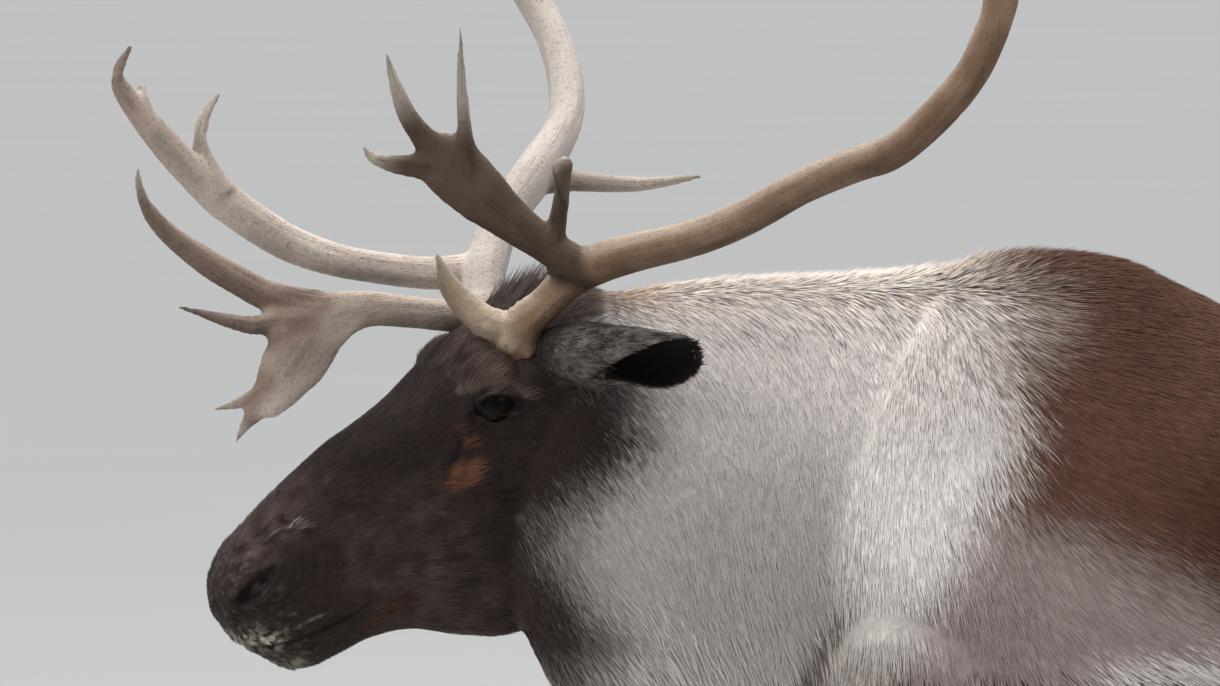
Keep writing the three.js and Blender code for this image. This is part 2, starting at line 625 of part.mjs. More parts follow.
function maneLocks() {
  const locks = [];
  for (let r = 0; r < MANE.rows; r++)
    for (let k = 0; k < MANE.across; k++) {
      const side = (k + (r % 2 ? 0.25 : 0.75)) / MANE.across - 0.5;
      const angle = rad(-90 + 2 * MANE.arc * side + 4 * (draw() - 0.5));
      const x = MANE.fromX + ((MANE.toX - MANE.fromX) * (r + 0.3 * draw())) / (MANE.rows - 0.6);
      const { point, outward } = neckSurface(x, angle);
      const way = vec(0.34 + 0.1 * draw(), 0, -0.86).addScaledVector(outward, 0.3).normalize();
      const size = 1 - 1.24 * Math.abs(side) + 0.12 * (draw() - 0.5);
      const root = point.clone().addScaledVector(outward, -2);
      const width = MANE.width * (0.8 + 0.3 * draw());
      locks.push(lockSolid(root, outward, way, MANE.length * size, width, MANE.thick));
    }
  return locks;
}

// Materials of the plain model
const finish = (color, roughness) => new THREE.MeshStandardMaterial({ color, roughness, metalness: 0 });
const DARK_FACE = finish(0x3a2f2c, 0.85);
const PALE_NECK = finish(0xb9b2ac, 0.9);
const BROWN_COAT = finish(0x7a6157, 0.9);
const LEG_COAT = finish(0x4d4039, 0.85);
const TAIL_COAT = finish(0xd8d2c8, 0.9);
const BONE = finish(0xa8937c, 0.6);
const HOOF_HORN = finish(0x2b2623, 0.45);
const EYE_WET = finish(0x120d0b, 0.08);

const reindeer = new THREE.Group();
function add(name, solid, material) {
  const mesh = solid.getMesh();
  const geometry = new THREE.BufferGeometry();
  geometry.setAttribute("position", new THREE.BufferAttribute(new Float32Array(mesh.vertProperties), 3));
  geometry.setIndex(new THREE.BufferAttribute(new Uint32Array(mesh.triVerts), 1));
  const node = new THREE.Mesh(geometry, material);
  node.name = name;
  reindeer.add(node);
}

// Flesh in one piece, then parted with thin cuts
const browRidge = (side) => ballSolid(onHead(84, side * 52, 26), 27, vec(1.3, 0.95, 0.95), 12);
const eyeHollow = (side) => openingSolid(side).add(ballSolid(eyeAt(side), EYE.radius + GAP));

const legs = LEGS.map((leg) => legSolid(leg));
const faceParts = [headSolid(), browRidge(-1), browRidge(1), lidSolid(-1), lidSolid(1)];
const faceCuts = [eyeHollow(-1), eyeHollow(1), nostrilCut(-1), nostrilCut(1), mouthCut()];
const flesh = union([trunkSolid(), neckSolid(), ...faceParts, ...legs]).subtract(union(faceCuts));

const HEAD_CUT = { at: vec(-395, 0, 985), normal: vec(0.9, 0.2, -0.3) };
const NECK_CUT = { at: vec(-212, 0, 900), normal: vec(0.99, 0, 0.12) };
const [head, behindHead] = parted(flesh, HEAD_CUT.at, HEAD_CUT.normal);
const [neckCore, behindNeck] = parted(behindHead, NECK_CUT.at, NECK_CUT.normal);

// A leg is cut off the trunk by a slanting plane outside the middle of the chest or belly.
const LEG_CUTS = {
  foreleg: { at: vec(-60, 0, 690), normal: vec(0.3, 0, -1), inside: 62, front: -400, back: 30 },
  hindleg: { at: vec(800, 0, 720), normal: vec(-0.35, 0, -1), inside: 62, front: 672, back: 1200 },
};
let trunk = behindNeck;
const legParts = [];
for (const leg of LEGS) {
  const cut = LEG_CUTS[leg.name.split("_")[0]];
  const away = vec(0, leg.side, 0);
  const middle = (gap) => cut.at.clone().addScaledVector(cut.normal.clone().normalize(), gap);
  const zone = (gap) => beyond(middle(gap), cut.normal)
    .intersect(beyond(vec(0, leg.side * (cut.inside + gap), 0), away))
    .intersect(beyond(vec(cut.front + gap, 0, 0), vec(1, 0, 0)))
    .intersect(beyond(vec(cut.back - gap, 0, 0), vec(-1, 0, 0)));
  const whole = largest(trunk.intersect(zone(GAP)));
  trunk = trunk.subtract(zone(0));
  const [upper, lower] = parted(whole, vec(0, 0, leg.joint), vec(0, 0, -1));
  legParts.push([leg, largest(upper), largest(lower)]);
}

add("head", largest(head), DARK_FACE);
const trunkSide = beyond(NECK_CUT.at.clone().addScaledVector(NECK_CUT.normal, -1), NECK_CUT.normal);
const headWall = HEAD_CUT.at.clone().addScaledVector(HEAD_CUT.normal, 1);
const headSide = beyond(headWall, HEAD_CUT.normal.clone().negate());
const locks = union(maneLocks()).subtract(trunkSide).subtract(headSide);
add("neck", largest(largest(neckCore).add(locks)), PALE_NECK);
add("torso", largest(trunk), BROWN_COAT);
add("tail", largest(tailSolid().subtract(trunkSolid(GAP))), TAIL_COAT);
for (const [leg, upper, lower] of legParts) {
  add(`${leg.name}_upper`, upper, LEG_COAT);
  add(`${leg.name}_lower`, lower, LEG_COAT);
  for (const outer of [true, false]) {
    const which = `${leg.name}_${outer ? "outer" : "inner"}`;
    add(`hoof_${which}`, clawSolid(leg, outer).subtract(legSolid(leg, GAP)), HOOF_HORN);
    add(`dewclaw_${which}`, largest(dewclawSolid(leg, outer)), HOOF_HORN);
  }
}
const beamRows = (side) => (side < 0 ? LEFT_BEAM : RIGHT_BEAM);
const beamGrown = (side) => hornSolid(beamRows(side), PALM_WAY, 1, BEAM_SIDES, GAP).add(burrSolid(side, GAP));
const headGrown = headSolid(GAP).add(neckSolid(GAP));
for (const side of [-1, 1]) {
  const name = side < 0 ? "left" : "right";
  add(`ear_${name}`, largest(earSolid(side).subtract(headGrown).subtract(beamGrown(side))), DARK_FACE);
  add(`eye_${name}`, ballSolid(eyeAt(side), EYE.radius), EYE_WET);
}

// The beams, cut into a foot, a middle and a crown
function antler(name, side, cuts, branches, crownTines) {
  const beam = union([hornSolid(beamRows(side), PALM_WAY, 1, BEAM_SIDES), burrSolid(side)]);
  const tines = union(crownTines.map((rows) => hornSolid(rows, PALM_WAY, 1, TINE_SIDES)));
  const crowned = largest(beam.add(tines));
  let rest = largest(crowned.subtract(headGrown));
  for (const [part, row] of cuts) {
    const [at, next] = [vec(...beamRows(side)[row]), vec(...beamRows(side)[row + 1])];
    const [near, far] = parted(rest, at, next.sub(at));
    add(`antler_${name}_${part}`, largest(near), BONE);
    rest = largest(far);
  }
  add(`antler_${name}_crown`, rest, BONE);
  let carrier = beamGrown(side).add(headGrown);
  for (const [part, stem, tines] of branches) {
    add(`antler_${name}_${part}`, branch(stem, tines, carrier), BONE);
    carrier = carrier.add(hornSolid(stem, UPRIGHT, 1, TINE_SIDES + 2, GAP));
  }
}
antler("left", -1, [["foot", 8], ["beam", 12], ["upper_beam", 17]], [
  ["brow", LEFT_BROW, []],
  ["bez", LEFT_BEZ, LEFT_BEZ_TINES],
  ["knob", LEFT_KNOB, []],
], LEFT_CROWN_TINES);
antler("right", 1, [["foot", 5], ["beam", 8], ["upper_beam", 10]], [
  ["brow", RIGHT_BROW, RIGHT_BROW_TINES],
  ["bez", RIGHT_BEZ, RIGHT_BEZ_TINES],
  ["rear", RIGHT_REAR, []],
], RIGHT_CROWN_TINES);

// The origin goes to the ground under the middle of the whole animal.
const reach = new THREE.Box3().setFromObject(reindeer);
const middle = reach.getCenter(new THREE.Vector3());
reindeer.position.set(-middle.x, -middle.y, -reach.min.z);

export default reindeer;
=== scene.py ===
# %% [markdown]
# A bull reindeer stands with its neck level and its head low, turned a little towards the camera.
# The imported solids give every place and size. This scene grows the finished animal over them:
# one living skin, two antlers, wet eyes, horn hooves, and a coat of solid tufts that lie along it.

import bmesh
import bpy
import numpy as np
from mathutils import Matrix, Vector, kdtree


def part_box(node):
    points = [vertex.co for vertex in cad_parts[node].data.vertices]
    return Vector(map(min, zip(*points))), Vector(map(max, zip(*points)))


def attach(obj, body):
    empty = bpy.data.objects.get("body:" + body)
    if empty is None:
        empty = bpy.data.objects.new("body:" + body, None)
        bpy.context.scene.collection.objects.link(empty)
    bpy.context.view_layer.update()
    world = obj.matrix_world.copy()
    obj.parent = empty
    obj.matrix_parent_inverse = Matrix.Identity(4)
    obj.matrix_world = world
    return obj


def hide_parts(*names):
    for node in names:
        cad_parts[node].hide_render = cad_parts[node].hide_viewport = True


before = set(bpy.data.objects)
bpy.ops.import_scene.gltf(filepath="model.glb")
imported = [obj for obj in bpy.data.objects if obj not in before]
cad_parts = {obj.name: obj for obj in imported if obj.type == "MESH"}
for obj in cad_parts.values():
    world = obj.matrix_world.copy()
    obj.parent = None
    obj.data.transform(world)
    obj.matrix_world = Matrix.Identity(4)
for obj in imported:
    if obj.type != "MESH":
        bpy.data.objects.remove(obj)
bpy.context.view_layer.update()
MM = 0.001

# %% [markdown]
# The animal's own sizes are written in millimetres, with the shoulder hump over the origin. The
# head has a frame of its own, because it is turned, dropped and tipped as one rigid thing. A long
# skull reads best in terms of how far ahead, how far out and how high a point lies on it.

# %% Head frame
HEAD_AT = np.array([-407, -19, 1044.5])
HEAD_TURN, HEAD_DROP, HEAD_TIP = np.radians([18, 36, 5])
HEAD_AXES = np.array(
    Matrix.Rotation(HEAD_TURN, 3, "Z") @ Matrix.Rotation(-HEAD_DROP, 3, "Y") @ Matrix.Rotation(HEAD_TIP, 3, "X")
)


def on_head(own):
    """Body millimetres of points given as ahead, right and up on the head."""
    return (np.asarray(own, float) * [-1, 1, 1]) @ HEAD_AXES.T + HEAD_AT


def own_head(body):
    """Ahead, right and up on the head, of points in body millimetres."""
    return ((np.asarray(body, float) - HEAD_AT) @ HEAD_AXES) * [-1, 1, 1]


EYE = {"ahead": 88, "out": 60, "up": 18, "radius": 19.5}
eye_low, eye_high = (np.array(corner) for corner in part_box("eye_left"))
SHIFT = (eye_low + eye_high) / 2 - on_head([EYE["ahead"], -EYE["out"], EYE["up"]]) * MM
print("the hump stands at", SHIFT.round(4))

# %% [markdown]
# The body is described by cross-sections, as a sculptor's card templates would. Each row gives the
# top, the bottom, the half width, where it is widest and how round it is. Few sections are enough,
# because a smooth curve is drawn through each column.

# %% Body sections
TRUNK = [
    [-246, 900, 790, 40, 0.5, 2, 2],
    [-232, 960, 722, 92, 0.48, 2, 2],
    [-196, 1030, 672, 142, 0.46, 1.9, 2],
    [-135, 1092, 640, 182, 0.44, 1.75, 2.1],
    [-62, 1123, 620, 204, 0.42, 1.65, 2.2],
    [0, 1130, 611, 216, 0.42, 1.65, 2.2],
    [56, 1126, 605, 226, 0.42, 1.7, 2.2],
    [106, 1106, 601, 234, 0.42, 1.8, 2.2],
    [150, 1086, 599, 240, 0.42, 1.9, 2.2],
    [230, 1064, 597, 249, 0.42, 2.05, 2.2],
    [340, 1052, 597, 254, 0.42, 2.1, 2.2],
    [460, 1050, 601, 254, 0.43, 2.1, 2.2],
    [580, 1056, 613, 248, 0.44, 2.1, 2.2],
    [690, 1064, 634, 234, 0.45, 2.05, 2.2],
    [790, 1056, 664, 213, 0.46, 2, 2.2],
    [870, 1028, 702, 183, 0.48, 2, 2.1],
    [928, 984, 748, 142, 0.5, 2, 2],
    [962, 935, 800, 92, 0.5, 2, 2],
    [976, 895, 842, 40, 0.5, 2, 2],
]
# The neck has a sideways shift after x.
NECK = [
    [-462, -44, 1070, 856, 30, 0.5, 2, 2],
    [-440, -34, 1086, 800, 62, 0.5, 2, 2],
    [-410, -26, 1094, 752, 88, 0.48, 2, 2],
    [-370, -17, 1099, 722, 110, 0.46, 1.9, 2],
    [-320, -9, 1104, 702, 126, 0.44, 1.85, 2],
    [-262, -3, 1107, 690, 141, 0.42, 1.8, 2],
    [-205, 0, 1109, 688, 150, 0.42, 1.75, 2],
    [-140, 0, 1112, 700, 156, 0.42, 1.7, 2],
    [-70, 0, 1118, 730, 150, 0.42, 1.7, 2],
]
HEAD = [
    [-52, 22, -96, 44, 0.55, 2, 2],
    [-34, 42, -138, 62, 0.58, 2, 2],
    [-8, 57, -166, 73, 0.62, 2, 2],
    [22, 66, -184, 77, 0.68, 2.1, 2.1],
    [52, 66, -192, 77, 0.74, 2.2, 2.1],
    [84, 63, -194, 75, 0.78, 2.3, 2.1],
    [116, 59, -190, 71, 0.78, 2.3, 2.1],
    [148, 56, -184, 65, 0.74, 2.3, 2.1],
    [180, 57, -173, 59, 0.68, 2.3, 2.2],
    [212, 59, -147, 53, 0.6, 2.3, 2.2],
    [244, 57, -116, 49, 0.54, 2.3, 2.3],
    [276, 54, -100, 46, 0.5, 2.3, 2.4],
    [304, 49, -94, 47, 0.48, 2.4, 2.4],
    [328, 44, -88, 49, 0.46, 2.5, 2.3],
    [346, 36, -76, 46, 0.45, 2.4, 2.2],
    [360, 24, -52, 37, 0.45, 2.2, 2.1],
    [369, 8, -30, 22, 0.5, 2, 2],
]
# Legs: x and y of the middle, z, half depth and half width
FORELEG = [
    [-70, 108, 930, 52, 34],
    [-76, 118, 872, 86, 56],
    [-80, 127, 806, 104, 68],
    [-72, 134, 734, 96, 69],
    [-56, 138, 662, 74, 58],
    [-47, 138, 600, 58, 46],
    [-48, 136, 540, 47, 39],
    [-52, 134, 470, 38, 33],
    [-56, 132, 410, 34, 31],
    [-59, 131, 365, 36, 33],
    [-57, 131, 325, 31, 29],
    [-54, 131, 280, 25, 24],
    [-52, 132, 210, 23, 22],
    [-52, 133, 150, 25, 24],
    [-55, 134, 118, 30, 29],
    [-66, 135, 90, 29, 29],
    [-79, 136, 68, 32, 36],
    [-87, 137, 51, 37, 43],
]
HINDLEG = [
    [800, 100, 940, 64, 40],
    [806, 116, 876, 112, 68],
    [802, 128, 800, 138, 84],
    [788, 135, 714, 126, 77],
    [792, 136, 636, 95, 60],
    [814, 134, 570, 69, 47],
    [843, 132, 515, 51, 38],
    [868, 130, 465, 43, 33],
    [880, 129, 420, 39, 31],
    [878, 129, 375, 33, 28],
    [870, 130, 310, 27, 24],
    [862, 131, 230, 25, 23],
    [856, 132, 155, 26, 24],
    [853, 133, 118, 31, 29],
    [842, 134, 90, 30, 29],
    [829, 135, 68, 33, 36],
    [821, 136, 51, 38, 43],
]
TAIL = [
    [930, 962, 30, 20],
    [964, 962, 38, 24],
    [990, 934, 44, 27],
    [1002, 892, 42, 25],
    [1004, 850, 30, 18],
    [1000, 812, 6, 5],
]
STRIDE_FROM = 700
LEGS = [
    {"name": "foreleg_left", "rows": FORELEG, "side": -1, "stride": -8},
    {"name": "foreleg_right", "rows": FORELEG, "side": 1, "stride": 52},
    {"name": "hindleg_left", "rows": HINDLEG, "side": -1, "stride": 34},
    {"name": "hindleg_right", "rows": HINDLEG, "side": 1, "stride": -46},
]
print("sections:", len(TRUNK) + len(NECK) + len(HEAD) + len(TAIL) + sum(len(leg["rows"]) for leg in LEGS))

# %% [markdown]
# Rows become rings of points and rings become closed skins. A curve through each column keeps the
# body free of the flat bands that a joiner's ribs would leave.

# %% Rings and skins


def curve(rows, place):
    """Rows of numbers at fractional row places, on a smooth curve through each column."""
    rows = np.asarray(rows, float)
    last = len(rows) - 1
    i = np.clip(np.floor(place).astype(int), 0, last - 1)
    t = (place - i)[:, None]
    p0, p1, p2, p3 = (rows[np.clip(i + k, 0, last)] for k in (-1, 0, 1, 2))
    pull = 2 * p0 - 5 * p1 + 4 * p2 - p3
    return p1 + 0.5 * t * (p2 - p0 + t * (pull + t * (3 * (p1 - p2) + p3 - p0)))


def finer(rows, steps):
    """The rows with steps rows for each one of the table's."""
    return curve(rows, np.linspace(0, len(rows) - 1, (len(rows) - 1) * steps + 1))


def turn(sides):
    """Angles once round a ring."""
    return np.arange(sides) * 2 * np.pi / sides


def section(rows, sides, inset):
    """Sideways and upward places round body sections, drawn in from the surface by the inset."""
    top, bottom, half, widest, round_top, round_bottom = (column[:, None] for column in rows.T)
    top, bottom, half = top - inset, bottom + inset, half - inset
    c, s = np.cos(turn(sides)), np.sin(turn(sides))
    power = np.where(s > 0, 2 / round_top, 2 / round_bottom)
    middle = bottom + widest * (top - bottom)
    y = half * np.sign(c) * np.abs(c) ** power
    return y, middle + np.where(s > 0, top - middle, middle - bottom) * np.sign(s) * np.abs(s) ** power


def loft(rings):
    """A closed skin over rings of points, as vertices and triangles."""
    count, sides = rings.shape[:2]
    ring = np.arange(count - 1)[:, None] * sides
    a = ring + np.arange(sides)
    b = ring + np.roll(np.arange(sides), -1)
    walls = np.stack([a, b, a + sides, b, b + sides, a + sides], -1).reshape(-1, 3)
    first, last = count * sides, count * sides + 1
    around = np.arange(sides)
    start = np.stack([np.roll(around, -1), around, np.full(sides, first)], 1)
    end = np.stack([around, np.roll(around, -1), np.full(sides, last)], 1)
    end[:, :2] += first - sides
    points = np.vstack([rings.reshape(-1, 3), rings[0].mean(0), rings[-1].mean(0)])
    return outward(points, np.vstack([walls, start, end]))


def outward(points, faces):
    """The same closed skin with its faces turned to look out."""
    p = points[faces]
    volume = np.einsum("ij,ij->i", p[:, 0], np.cross(p[:, 1], p[:, 2])).sum()
    return points, faces if volume > 0 else faces[:, ::-1]


def joined(parts):
    """Several skins as one list of points and one of faces."""
    starts = np.cumsum([0] + [len(points) for points, _ in parts[:-1]])
    return np.vstack([p for p, _ in parts]), np.vstack([f + s for (_, f), s in zip(parts, starts)])


def mesh_from(name, points, faces):
    """A Blender mesh from body millimetres."""
    mesh = bpy.data.meshes.new(name)
    mesh.vertices.add(len(points))
    mesh.vertices.foreach_set("co", (points * MM + SHIFT).astype(np.float32).ravel())
    mesh.loops.add(faces.size)
    mesh.loops.foreach_set("vertex_index", faces.astype(np.int32).ravel())
    mesh.polygons.add(len(faces))
    mesh.polygons.foreach_set("loop_start", np.arange(len(faces), dtype=np.int32) * faces.shape[1])
    mesh.update(calc_edges=True)
    return mesh


def piece_from(name, mesh):
    """An object in the scene that shows the mesh."""
    piece = bpy.data.objects.new(name, mesh)
    bpy.context.scene.collection.objects.link(piece)
    return piece


def read_mesh(mesh):
    """Points in body millimetres and triangles of a mesh."""
    points = np.empty(len(mesh.vertices) * 3, np.float32)
    mesh.vertices.foreach_get("co", points)
    mesh.calc_loop_triangles()
    faces = np.empty(len(mesh.loop_triangles) * 3, np.int32)
    mesh.loop_triangles.foreach_get("vertices", faces)
    return (points.reshape(-1, 3).astype(float) - SHIFT) / MM, faces.reshape(-1, 3)


def with_modifier(name, mesh, kind, **settings):
    """Points and triangles of a mesh after one modifier."""
    piece = piece_from(name, mesh)
    modifier = piece.modifiers.new(kind.lower(), kind)
    for key, value in settings.items():
        setattr(modifier, key, value)
    made = bpy.data.meshes.new_from_object(piece.evaluated_get(bpy.context.evaluated_depsgraph_get()))
    result = read_mesh(made)
    bpy.data.objects.remove(piece)
    bpy.data.meshes.remove(made)
    return result


def fused(name, parts, voxel):
    """Overlapping closed skins melted into one, on a grid of the voxel's size in millimetres."""
    mesh = mesh_from(name, *joined(parts))
    return with_modifier(name, mesh, "REMESH", mode="VOXEL", voxel_size=voxel * MM)


def edges_of(faces):
    """Each edge of the triangles once."""
    pairs = np.sort(np.vstack([faces[:, [0, 1]], faces[:, [1, 2]], faces[:, [2, 0]]]), 1)
    keys = np.unique(pairs[:, 0].astype(np.int64) * (1 << 32) + pairs[:, 1])
    return (keys >> 32).astype(int), (keys & 0xFFFFFFFF).astype(int)


def relaxed(points, edges, rounds, weight=1.0, keep_volume=True):
    """Points drawn towards the middle of their neighbours, then pushed back a little."""
    a, b = edges
    count = len(points)
    degree = np.bincount(a, minlength=count) + np.bincount(b, minlength=count)
    weight = np.broadcast_to(weight, count)[:, None]
    for step in range(rounds * (2 if keep_volume else 1)):
        size = 0.55 if step % 2 == 0 or not keep_volume else -0.57
        total = [np.bincount(a, points[b, k], count) + np.bincount(b, points[a, k], count) for k in range(3)]
        points = points + size * weight * (np.stack(total, 1) / degree[:, None] - points)
    return points


def welded(points, faces, gap):
    """The skin with points closer than the gap made one, which removes slivers."""
    shape = bmesh.new()
    shape.from_mesh(mesh_from("welded", points, faces))
    bmesh.ops.remove_doubles(shape, verts=shape.verts, dist=gap * MM)
    bmesh.ops.dissolve_degenerate(shape, edges=shape.edges, dist=0.1 * MM)
    bmesh.ops.triangulate(shape, faces=shape.faces)
    bmesh.ops.delete(shape, geom=[vert for vert in shape.verts if not vert.link_faces], context="VERTS")
    mesh = bpy.data.meshes["welded"]
    shape.to_mesh(mesh)
    shape.free()
    made = read_mesh(mesh)
    bpy.data.meshes.remove(mesh)
    return made


def nearest(points, targets):
    """Distance from each point to the nearest target and the target's number."""
    tree = kdtree.KDTree(len(targets))
    for i, place in enumerate(targets):
        tree.insert(place, i)
    tree.balance()
    found = [tree.find(place) for place in points]
    return np.array([f[2] for f in found]), np.array([f[1] for f in found])


def normals_of(points, faces):
    """Outward directions at the points of a skin."""
    p = points[faces]
    face = np.cross(p[:, 1] - p[:, 0], p[:, 2] - p[:, 0])
    total = [np.bincount(faces.ravel(), np.repeat(face[:, k], 3), len(points)) for k in range(3)]
    return unit(np.stack(total, 1))


def unit(v):
    """Vectors of length one."""
    return v / np.maximum(np.linalg.norm(v, axis=-1, keepdims=True), 1e-9)


def step(low, high, x):
    """0 below low, 1 above high, and smooth between. It falls instead when high is under low."""
    t = np.clip((np.asarray(x, float) - low) / (high - low), 0, 1)
    return t * t * (3 - 2 * t)


print("a ring of 4 sides and 3 rows gives", len(loft(np.random.default_rng(1).random((3, 4, 3)))[1]), "triangles")

# %% [markdown]
# Flesh comes first. The solids reach out to the tips of the hair, so the skin is drawn in from
# them by the depth of the coat: deep on the trunk and neck, thin on the face and legs.

# %% Body flesh
COAT_DEPTH = {"trunk": 10, "neck": 10, "head": 3, "leg": 4, "tail": 10, "ear": 1}


def set_back(leg, z):
    """How far a leg stands back at a height, as the animal's stride."""
    return leg["stride"] * np.maximum(0, 1 - z / STRIDE_FROM)


def body_part(rows, sides, inset):
    """A skin over sections that stand across the body, with x and a sideways shift first."""
    x, shift = rows[:, :1], rows[:, 1:2]
    y, z = section(rows[:, 2:], sides, inset)
    return loft(np.stack([x + 0 * y, shift + y, z], -1))


def leg_part(leg, sides, inset):
    """A skin over the round sections of a leg."""
    x, y, z, deep, wide = (column[:, None] for column in finer(leg["rows"], 4).T)
    c, s = np.cos(turn(sides)), np.sin(turn(sides))
    side = leg["side"] * y + (wide - inset) * s
    return loft(np.stack([x + set_back(leg, z) + (deep - inset) * c, side, z + 0 * side], -1))


def tail_part(sides, inset):
    """The tail is a flat tongue of skin that hangs from the rump."""
    rows = finer(TAIL, 4)
    middle = np.stack([rows[:, 0], 0 * rows[:, 0], rows[:, 1]], 1)
    along = unit(np.gradient(middle, axis=0))
    out = np.stack([-along[:, 2], 0 * along[:, 0], along[:, 0]], 1)
    wide, thick = (rows[:, k, None, None] - min(inset, 4) for k in (2, 3))
    c, s = (f(turn(sides))[None, :, None] for f in (np.cos, np.sin))
    return loft(middle[:, None] + np.maximum(wide, 1.5) * c * [0, 1, 0] + np.maximum(thick, 1.5) * s * out[:, None])


trunk_rows = np.insert(finer(TRUNK, 5), 1, 0, axis=1)
body_parts = [
    body_part(trunk_rows, 72, COAT_DEPTH["trunk"]),
    body_part(finer(NECK, 5), 72, COAT_DEPTH["neck"]),
    tail_part(24, COAT_DEPTH["tail"]),
    *(leg_part(leg, 40, COAT_DEPTH["leg"]) for leg in LEGS),
]
BODY_VOXEL = 6.0
body_points, body_faces = fused("body_flesh", body_parts, BODY_VOXEL)
print("body flesh:", len(body_points), "points")

# %% [markdown]
# Under the skin lie the masses that make an animal read as alive: shoulder blade and upper arm,
# the crease where neck meets shoulder, the hollow of the flank, and the point of the hip. Each is
# one soft push along the surface, placed on both sides.

# %% Body forms
# x, distance from the middle plane, z, radius, push
BODY_FORMS = [
    [-30, 150, 1010, 90, 5],
    [-110, 195, 850, 80, 6],
    [-205, 180, 800, 34, -9],
    [-190, 185, 850, 26, -5],
    [660, 215, 800, 85, -9],
    [770, 150, 1000, 60, 6],
    [860, 170, 850, 70, 4],
    [560, 235, 900, 110, -4],
]


def pushed(points, normals, forms, side_axis):
    """Points moved out or in along their normals by soft round forms on both sides."""
    amount = np.zeros(len(points))
    for *centre, radius, push in forms:
        for side in (-1, 1):
            place = np.array(centre, float)
            place[side_axis] *= side
            amount += push * np.exp(-((points - place) ** 2).sum(1) / (radius * radius))
    return points + normals * amount[:, None]


body_edges = edges_of(body_faces)
body_points = relaxed(body_points, body_edges, 8)
body_points = pushed(body_points, normals_of(body_points, body_faces), BODY_FORMS, 1)
print("body width after the forms:", np.ptp(body_points[:, 1]).round(1), "mm")

# %% [markdown]
# The ear is a rolled leaf of gristle. Near the head its opening faces the ground, and it turns
# outwards on the way to the tip, so that the dark cup shows from the side.

# %% Ears
EAR_PATH = [[-418, 54, 1040], [-392, 96, 1042], [-357, 135, 1041], [-322, 160, 1040], [-288, 173, 1050]]
# Share along, half width, half opening of the arc in degrees, size of the hollow, outward turn
EAR_CUP = [
    [0, 23, 176, 0.1, 0],
    [0.16, 30, 174, 0.12, 0],
    [0.32, 33, 166, 0.3, 4],
    [0.46, 32, 140, 0.66, 14],
    [0.6, 31, 122, 0.8, 30],
    [0.74, 28, 108, 0.84, 46],
    [0.88, 20, 98, 0.82, 58],
    [0.97, 8, 94, 0.7, 62],
]


def for_side(points, side):
    """A left-hand form as it is, or mirrored across the turned head's own middle."""
    return points if side < 0 else on_head(own_head(points) * [1, -1, 1])


def rotated(v, axis, angle):
    """Vectors turned about unit axes by angles."""
    c, s = np.cos(angle)[:, None], np.sin(angle)[:, None]
    return v * c + np.cross(axis, v) * s + axis * (axis * v).sum(1, keepdims=True) * (1 - c)


def ear_line(t):
    """Middle points and unit directions along the left ear."""
    path = np.array(EAR_PATH) * [1, -1, 1]
    place = np.asarray(t, float) * (len(path) - 1)
    middle = curve(path, place)
    return middle, unit(curve(path, place + 0.02) - curve(path, place - 0.02))


def ear_rings(side, across, inset):
    """Rings of the ear: its back from one edge to the other, then its lining back again."""
    rows = finer(EAR_CUP, 5)
    t, half, opening, inner, outward_turn = rows.T
    middle, along = ear_line(t)
    up = unit(np.array([0, 0, 1]) - along * along[:, 2:3])
    back = rotated(up, along, -np.radians(outward_turn))
    side_way = np.cross(along, back)
    share = np.linspace(-1, 1, across)
    angle = np.radians(opening)[:, None] * np.hstack([share, share[::-1]])
    size = np.hstack([np.ones((len(t), across)), np.repeat(inner[:, None], across, 1)])
    radius = np.maximum(half[:, None] * size - inset * np.where(size == 1, 1, -0.4), 1)
    rings = middle[:, None] + back[:, None] * (0.85 * radius * np.cos(angle))[..., None]
    rings = rings + side_way[:, None] * (radius * np.sin(angle))[..., None]
    return for_side(rings.reshape(-1, 3), side).reshape(rings.shape)


def ear_part(side, across, inset):
    """The ear's back and its lining in one closed skin."""
    return loft(ear_rings(side, across, inset))


print("ear length:", np.linalg.norm(np.diff(ear_line(np.linspace(0, 1, 30))[0], axis=0), axis=1).sum().round(), "mm")

# %% [markdown]
# A reindeer's eye looks sideways under a strong brow, and its lids stand a little off the ball.
# The lids are made as one raised rim, and the flesh behind the rim is sunk to make the socket.

# %% Head flesh
LID = {"long": 17, "high": 8.4, "rim": 2.6, "bulge": 17, "drop": 4, "tilt": np.radians(40)}
BROW = {"ahead": 80, "out": 53, "up": 30, "radius": 24}


def around_eye(side, along, up, out):
    """Body places given along and across the opening of an eye and outwards from the skull."""
    c, s = np.cos(LID["tilt"]), np.sin(LID["tilt"])
    own = [EYE["ahead"] + along * c - up * s, side * out, EYE["up"] + along * s + up * c]
    return on_head(np.stack(np.broadcast_arrays(*own), -1))


def eye_place(own):
    """Places along and across the nearer eye's opening of points on the head."""
    c, s = np.cos(LID["tilt"]), np.sin(LID["tilt"])
    ahead, up = own[:, 0] - EYE["ahead"], own[:, 2] - EYE["up"]
    return ahead * c + up * s, up * c - ahead * s


